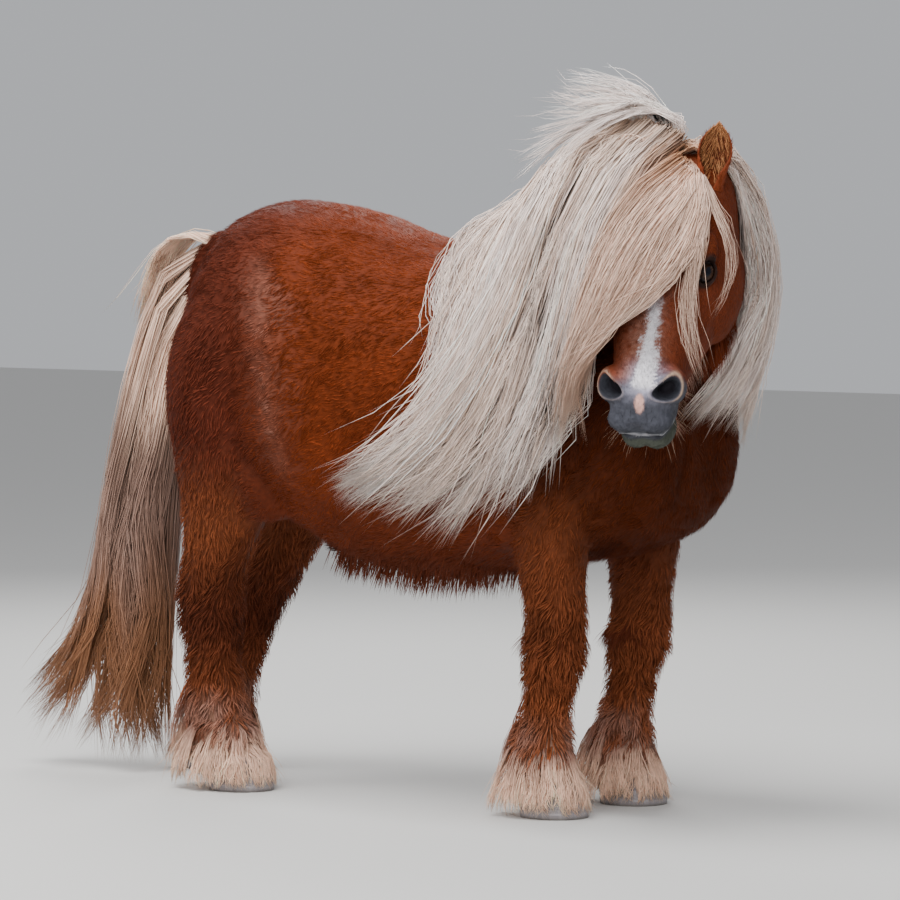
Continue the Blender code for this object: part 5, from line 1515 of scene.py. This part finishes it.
# %% Hang the tail
def tail_locks(count, places=18):
    """Locks round the tail: an angle round it picks the guide and the place across."""
    turn = 2 * np.pi * rng.random(count)
    size = np.sqrt(rng.random(count))
    lines = between(TAIL, 0.5 - 0.5 * size * np.cos(turn), places)
    t = np.linspace(0.0, 1.0, places)
    full = 0.35 + 0.65 * np.minimum(t / 0.3, 1.0)
    lines[..., 0] += (size * np.sin(turn))[:, None] * TAIL_HALF_WIDTH * full
    outs = np.stack([np.sin(turn), np.cos(turn), 0.2 + 0 * turn], axis=1)
    outs = np.repeat(unit(outs)[:, None], places, axis=1)
    lines, _ = laid(lines, 0.006, np.ones(count))
    return swayed(lines, outs, 0.030, (1.2, 2.4)), outs


hair += [
    strands("tail_hair", *tail_locks(70), 38, 0.0028, (0.008, 0.014, 0.009), 0.009, tail_tones, 9),
    strands("tail_fan", *hung(TAIL_FAN, 14, 0.006, 0.008, inner=0.9), 30, 0.0020,
            (0.007, 0.010, 0.012), 0.006, faded(TAIL_PALE, TAIL_PALE * 1.1), 6, 0.5, 0.5)]
hair_finished(hair, flaxen_finish, "long_hair")

# %% [markdown]
# ## Feather, beard and whiskers
# The feather is the long hair that grows behind the fetlock and all round the
# coronet and almost hides the hoof. Its locks start on the leg and fall over the
# hoof to just above the ground. The beard under the jaw and the whiskers of the
# chin and the muzzle are thinner and stand out more.


# %% Feather on the four feet
def foot_of(name):
    """The middle of a hoof on the ground."""
    low, high = (np.array(corner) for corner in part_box("hoof_" + name))
    return np.append((low + high)[:2] / 2, 0.0) - SHIFT


def feather_locks(name, count=80, places=7):
    """Locks round the fetlock: down the leg, out over the hoof and to the ground."""
    middle = foot_of(name) + (0.0, 0.010, 0.0)
    turn = 2 * np.pi * (np.arange(count) + rng.random(count)) / count
    way = np.stack([np.cos(turn), np.sin(turn), 0 * turn], axis=1)
    behind = np.maximum(way[:, 1], 0.0)
    high = rng.random(count) ** 1.3
    top = 0.060 + 0.060 * high + 0.110 * behind * rng.random(count) ** 1.5
    end = 0.004 + 0.006 * rng.random(count) + 0.60 * np.maximum(top - 0.100, 0.0)
    start = middle + way * 0.10
    start[:, 2] = top
    start, _ = nearest_skin(start)
    t = np.linspace(0.0, 1.0, places)[None, :, None]
    reach = (0.016 + 0.020 * behind + 0.006 * rng.random(count))[:, None, None]
    lines = start[:, None] + way[:, None] * reach * np.sin(t * np.pi / 2)
    lines[..., 2] = top[:, None] + (end - top)[:, None] * t[..., 0]
    lines, _ = laid(lines, 0.003, np.ones(count))
    away = lines - middle
    flat = np.linalg.norm(away[..., :2], axis=2)
    over_hoof = (0.066 - 0.25 * lines[..., 2]) * (lines[..., 2] < 0.060)
    push = np.maximum(over_hoof - flat, 0.0)[..., None]
    lines[..., :2] += away[..., :2] / flat[..., None] * push
    outs = np.repeat(way[:, None], places, axis=1)
    return swayed(lines, outs, 0.007, (0.5, 1.2)), outs


def feather_tones(which, t, lines):
    """Leg brown high up, roan below it, pale over the hoof."""
    height = lines[..., 2] + 0.014 * waves(lines.reshape(-1, 3), 0.035, 43).reshape(t.shape)
    low = (1 - smooth_step(height, 0.050, 0.115))[..., None]
    base = ROAN * 0.85 * (1 - low) + PALE_HAIR * 1.05 * low
    high = smooth_step(height, 0.110, 0.170)[..., None]
    # Each strand is painted darker towards its root, as shade deep in the feather.
    return (base * (1 - high) + LEG_CHESTNUT * 1.3 * high) * (0.85 + 0.25 * t[..., None])


feather = [
    strands("feather_" + name, *feather_locks(name), 14, 0.0021, (0.005, 0.009, 0.006), 0.005,
            feather_tones, 5, 0.25, 0.25)
    for name in LEGS]
hair_finished(feather, tuft_finish, "coat")


# %% Hair of the jaw, the cheeks, the chin and the belly
def standing_hair(name, places, ways, length, width, bend, tone, steps=4):
    """Single hairs that leave the skin along their ways and bend over, down and back."""
    count = len(places)
    roots, outs = nearest_skin(places)
    ways = unit(ways + outs * 0.3)
    t = np.linspace(0.0, 1.0, steps + 1)[None, :, None]
    long = (length * rng.uniform(0.6, 1.25, count))[:, None, None]
    lines = roots[:, None] - outs[:, None] * 0.0015 * (1 - t)
    lines = lines + ways[:, None] * long * t + np.array((0.0, 0.2, -1.0)) * long * bend * t**2
    lines[..., 2] = np.maximum(lines[..., 2], HAIR_FLOOR)
    along = unit(np.gradient(lines, axis=1))
    side = unit(np.cross(along, outs[:, None]))
    top = np.cross(side, along)
    half = width / 2 * rng.uniform(0.7, 1.3, (count, 1)) * (1 - 0.7 * t[:, :-1, 0])
    _, _, nearest = read_parts(roots)
    # Each hair is painted darker at its root, as shade at the skin.
    colours = tone * rng.normal(1.0, 0.12, (count, 1, 1)) * (0.85 + 0.3 * t)
    return blades(name, lines, side[:, :-1], top[:, :-1], half, half * 0.7, colours,
                  unwrapped(roots, nearest))


def by_jaw(across, along, above_jaw):
    """Head places so far above the line of the jaw, carried to the pony."""
    jaw = np.interp(along, [row[0] for row in HEAD], [row[2] for row in HEAD])
    return from_head(np.stack([across, along, jaw + above_jaw], axis=1))


def scattered_ways(way, count, spread):
    """The same way for each hair, with a random part."""
    return np.tile(way, (count, 1)) + rng.normal(0, spread, (count, 3))


count = int(1300 * DENSE)
along = rng.uniform(0.10, 0.40, count)
places = by_jaw(rng.normal(0, 0.022, count), along, -0.01)
ways = scattered_ways(-HEAD_UP + NOSE_WAY * 0.25, count, 0.22)
fringe = [standing_hair("beard", places, ways, 0.034, 0.0010, 0.35, ROAN * 1.2)]
count = int(3600 * DENSE)
along = rng.uniform(0.05, 0.25, count)
across = rng.uniform(0.030, 0.070, count) * rng.choice((-1.0, 1.0), count)
places = by_jaw(across, along, rng.uniform(-0.01, 0.03, count))
ways = scattered_ways(-HEAD_UP * 0.3 - (0.0, 0.0, 1.0), count, 0.12)
fringe.append(standing_hair("cheek_fringe", places, ways, 0.044, 0.0013, 0.30, FACE_CHESTNUT * 1.05))
count = 90
around = rng.uniform(0.9 * np.pi, 2.1 * np.pi, count)
places = from_head(np.stack([0.045 * np.cos(around), rng.uniform(0.36, 0.44, count),
                             -0.060 + 0.030 * np.sin(around)], axis=1))
ways = unit(places - from_head((0.0, 0.36, -0.045))) + rng.normal(0, 0.15, (count, 3))
fringe.append(standing_hair("whiskers", places, ways, 0.030, 0.0006, 0.25, RIM_TAN * 1.1))
count = int(2000 * DENSE)
places = np.stack([rng.normal(0, 0.085, count), rng.uniform(-0.16, 0.50, count),
                   np.full(count, 0.30)], axis=1)
ways = scattered_ways((0.0, 0.35, -1.0), count, 0.20)
fringe.append(standing_hair("belly_fringe", places, ways, 0.034, 0.0020, 0.30, DARK_BROWN_AND_SHADE * 1.5))
hair_finished(fringe, tuft_finish, "coat")

# %% [markdown]
# ## Eyes, lids and lashes
# The eye is a wet dark ball with a slight bulge over the iris. Its pupil is a wide
# level oval, as in all horses. The colours are rings round the way it looks, and a
# clear coat gives the wet highlight. A row of lashes grows from the upper lid.


# %% Eyes
EYE_WHITE_BROWN = np.array((0.018, 0.012, 0.010))
IRIS_BROWN = np.array((0.036, 0.015, 0.007))
IRIS_EDGE = np.array((0.008, 0.007, 0.010))
PUPIL_BLUE = np.array((0.002, 0.003, 0.008))
CORNEA_SWELL = 0.0012
# The pupil's half sizes, as shares of the eye's radius.
PUPIL_HALF_LONG, PUPIL_HALF_HIGH = 0.44, 0.24


def eyeball(name, side, middle, radius, steps=44, turns=64):
    """A ball whose radius swells by swell * exp(-(a / 0.55)^2) at angle a from its look."""
    axes = eye_axes(side)
    angle = np.linspace(0.0, np.pi, steps)[1:-1, None]
    turn = np.linspace(0.0, 2 * np.pi, turns, endpoint=False)[None]
    swell = radius - CORNEA_SWELL / 2 + CORNEA_SWELL * np.exp(-((angle / 0.55) ** 2))
    own = np.stack([np.sin(angle) * np.cos(turn), np.sin(angle) * np.sin(turn),
                    np.cos(angle) + 0 * turn], axis=-1) * swell[..., None]
    points, triangles = closed_loft(own)
    long, high = points[:, 0] / radius, points[:, 1] / radius
    ring = np.hypot(long, high)
    spin = np.arctan2(high, long)
    streaks = 0.75 + 0.25 * np.sin(spin * 37) * np.sin(spin * 23 + 1.0)
    colours = np.tile(EYE_WHITE_BROWN, (len(points), 1))
    colours = mixed(colours, IRIS_BROWN * streaks[:, None], 1 - smooth_step(ring, 0.70, 0.78))
    colours = mixed(colours, IRIS_EDGE, smooth_step(ring, 0.60, 0.70) * (ring < 0.80) * 0.8)
    pupil = np.hypot(long / PUPIL_HALF_LONG, high / PUPIL_HALF_HIGH)
    colours = mixed(colours, PUPIL_BLUE, 1 - smooth_step(pupil, 0.85, 1.05))
    ball_piece = facing_out(add_mesh(name, middle + points @ axes, triangles))
    painted(ball_piece, colours)
    return ball_piece


eye_finish = toned_finish("wet_eye", 0.10, 300.0, (1.0, 1.0, 1.0), 0.0, 0.05, gloss=0.15, coat=0.15)
for word, side in SIDES.items():
    ball_piece = eyeball("eyeball_" + word, side, *eyes[word])
    finished(ball_piece, eye_finish, "eye", "eye_" + word)


def lashes(side, middle, radius, count=46):
    """Short dark hairs along the upper lid: an arc of the lid's oval, curving out and down."""
    axes = eye_axes(side)
    upper = -side
    arc = rng.uniform(0.12, 0.88, count) * np.pi
    own = np.stack([LID_HALF_LONG * np.cos(arc), upper * LID_HALF_HIGH * np.sin(arc)], axis=1) * 1.08
    deep = np.sqrt((radius + LID_THICK) ** 2 - (own**2).sum(axis=1))
    places = middle + np.concatenate([own, deep[:, None]], axis=1) @ axes
    ways = np.stack([own[:, 0] * 16, own[:, 1] * 22, np.full(count, 1.0)], axis=1) @ axes
    return places, ways + rng.normal(0, 0.08, (count, 3))


for word, side in SIDES.items():
    places, ways = lashes(side, *eyes[word])
    row = standing_hair("lashes_" + word, places, ways, 0.013, 0.0009, 0.45, LID_BLACK)
    hair_finished([row], tuft_finish, "coat")

# %% [markdown]
# ## Ears
# A pony's ear is a leaf of gristle rolled into a cup. Its outside is an arc wider
# than half a circle at the root, and the cup opens towards the tip. One grid holds
# it: up the ear in one direction, out along the outer side and back along the
# inner side in the other, so the rim is closed and the leaf has a real thickness.

# %% Ears
EAR_ROOT = (0.052, 0.022, 0.032)
EAR_WAY = {1: (0.12, -0.85, 0.52), -1: (0.62, -0.66, 0.20)}
EAR_FACE = {1: (0.28, 0.45, 0.85), -1: (0.20, 0.35, 0.90)}
EAR_ROWS = thousandths("""
    -30 21 19
    0 22.5 19
    18 25.5 18.5
    37 26.5 16.5
    55 22.5 13
    69 13.5 9
    78 3 3""")
EAR_LEAF = 0.0030
EAR_TURNS = 36


def ear_axes(side):
    """Where the ear's root is, and its axes: across the cup, into its back, up to its tip."""
    up = unit(np.asarray(mirrored(EAR_WAY[side], side)) @ HEAD_TURN)
    face = unit(np.asarray(mirrored(EAR_FACE[side], side)) @ HEAD_TURN)
    across = unit(np.cross(up, face))
    return from_head(mirrored(EAR_ROOT, side)), np.stack([across, np.cross(up, across), up])


def ear_leaf(name, side, levels=40, turns=EAR_TURNS):
    """Outer arc (half sin a, deep cos a) for a from -m to m, then the same less the leaf."""
    rows = read_along([(0, 0, up, half, deep) for up, half, deep in EAR_ROWS], levels)
    height, half, deep = rows[:, 2], rows[:, 3], rows[:, 4]
    most = np.interp(height, (-0.03, 0.006, 0.030, 0.078), (3.0, 2.45, 1.75, 1.30))
    outer = np.linspace(-1.0, 1.0, turns)[None] * most[:, None]
    leaf = np.minimum(EAR_LEAF, 0.5 * deep)
    outside = np.stack([half[:, None] * np.sin(outer), deep[:, None] * np.cos(outer),
                        height[:, None] + 0 * outer], axis=-1)
    inner = outer[:, ::-1]
    inside = np.stack([(half - leaf)[:, None] * np.sin(inner), (deep - leaf)[:, None] * np.cos(inner),
                       height[:, None] + 0 * inner], axis=-1)
    grid = np.concatenate([outside, inside], axis=1)
    grid[..., 1] += 0.12 * (grid[..., 2] - 0.02) ** 2 / 0.078
    points, triangles = closed_loft(grid)
    root, axes = ear_axes(side)
    ear = facing_out(add_mesh(name, root + points @ axes, triangles))
    is_inside = np.append(np.tile(np.arange(2 * turns) >= turns, levels), (False, False))
    rise = np.append(np.repeat(height, 2 * turns), (0, 0))
    colours = mixed(np.tile(FACE_CHESTNUT * 1.1, (len(points), 1)), DARK_BROWN_AND_SHADE * 0.9, is_inside * 0.85)
    colours = mixed(colours, GINGER, smooth_step(rise, 0.05, 0.08) * 0.5)
    if side == SIDES["right"]:
        colours = mixed(colours, FORELOCK_TAN * 0.8, smooth_step(rise, 0.010, 0.030))
    painted(ear, colours)
    return ear, points, axes, root


def ear_hair(name, side, points, axes, root, count=900):
    """Short hairs over the leaf: up the back, and long tan ones out of the cup."""
    chosen = rng.choice(len(points) - 2, count)
    own = points[chosen]
    inner = (chosen % (2 * EAR_TURNS)) >= EAR_TURNS
    out = unit(own * (1, 1, 0)) * np.where(inner, -1, 1)[:, None]
    way = np.array((0.0, 0.0, 1.0)) + out * np.where(inner, 0.5, 0.12)[:, None]
    way = unit(way + rng.normal(0, 0.12, (count, 3)))
    length = np.where(inner, 0.020, 0.009) * rng.uniform(0.6, 1.2, count)
    length *= np.clip((0.090 - own[:, 2]) / 0.04, 0.15, 1.0)
    if side == SIDES["right"]:
        length *= np.clip((0.055 - own[:, 2]) / 0.02, 0.1, 1.0)
    t = np.linspace(0.0, 1.0, 4)[None, :, None]
    lines = own[:, None] + way[:, None] * length[:, None, None] * t
    along = np.repeat(way[:, None], 4, axis=1)
    tops = np.repeat(out[:, None], 4, axis=1)
    sides = unit(np.cross(along, tops))
    half = np.where(inner, 0.0006, 0.0008)[:, None] * (1 - 0.6 * t[:, :-1, 0])
    tone = np.where(inner[:, None], GINGER * 1.2, FACE_CHESTNUT * 1.1 if side > 0 else FORELOCK_TAN)
    # Each hair is painted darker at its root, as shade at the skin.
    colours = tone[:, None] * rng.normal(1.0, 0.2, (count, 1, 1)) * (0.8 + 0.4 * t)
    turned = [some @ axes for some in (lines, sides, tops)]
    roots = root + own @ axes
    _, _, nearest = read_parts(roots)
    return blades(name, root + turned[0], turned[1][:, :-1], turned[2][:, :-1], half, half * 0.6,
                  colours, unwrapped(roots, nearest))


for word, side in SIDES.items():
    ear, own_points, axes, root = ear_leaf("ear_leaf_" + word, side)
    finished(ear, skin_finish, "coat", "ear_" + word)
    fuzz = ear_hair("ear_hair_" + word, side, own_points, axes, root)
    hair_finished([fuzz], tuft_finish, "coat")

# %% [markdown]
# ## Hooves
# A hoof grows down from the coronet in rings, a little each month. So its wall is
# a loft with small ridges, and its finish has dark and pale bands that follow the
# height, with fine lines that run down the horn.

# %% Hooves
HOOF = thousandths("""
    0 50 62 46
    6 51 62 47
    35 46 52 45
    56 42 44 43""")
HOOF_CENTRE_BACK = -0.0080
RIDGE_STEP, RIDGE_HIGH = 0.0062, 0.0004
HORN = np.array((0.300, 0.270, 0.280))
HORN_DARK = np.array((0.180, 0.160, 0.165))
HORN_PALE = np.array((0.420, 0.370, 0.340))
HORN_SOLE = np.array((0.120, 0.105, 0.095))


def hoof_wall(name, levels=60, sides=64):
    """The hoof's rows with ridges of ridge height * sin(height / ridge step) on the wall."""
    rows = read_along([(0, 0, up, half, ahead, behind) for up, half, ahead, behind in HOOF], levels)
    middle = foot_of(name) - (0.0, HOOF_CENTRE_BACK, 0.0)
    rise = rows[:, 2]
    ridge = RIDGE_HIGH * np.sin(rise * 2 * np.pi / RIDGE_STEP) * smooth_step(rise, 0.003, 0.008)
    middles = np.stack([np.full(levels, middle[0]), np.full(levels, middle[1]), rise], axis=1)
    grid = level_tube(middles, rows[:, 3] + ridge, rows[:, 5] + ridge, rows[:, 4] + ridge,
                      np.full(levels, 2.3), sides=sides)
    points, triangles = closed_loft(grid)
    wall = facing_out(add_mesh(name + "_wall", points, triangles))
    spin = np.arctan2(points[:, 1] - middle[1], points[:, 0] - middle[0])
    bands = 0.5 + 0.5 * np.sin(points[:, 2] * np.pi / RIDGE_STEP + 0.6 * np.sin(3 * spin))
    lines = 0.5 + 0.5 * np.sin(spin * 61 + 4 * np.sin(spin * 7))
    colours = mixed(np.tile(HORN, (len(points), 1)), HORN_DARK, bands * 0.6)
    colours = mixed(colours, HORN_PALE, lines * 0.25)
    colours = mixed(colours, HORN_SOLE, 1 - smooth_step(points[:, 2], 0.0, 0.006))
    painted(wall, colours)
    return wall


hoof_finish = toned_finish("hoof_horn", 0.48, 180.0, (1.0, 1.0, 0.15), 0.35, 0.12)
for name in LEGS:
    finished(hoof_wall(name), hoof_finish, "hoof_horn", "hoof_" + name)
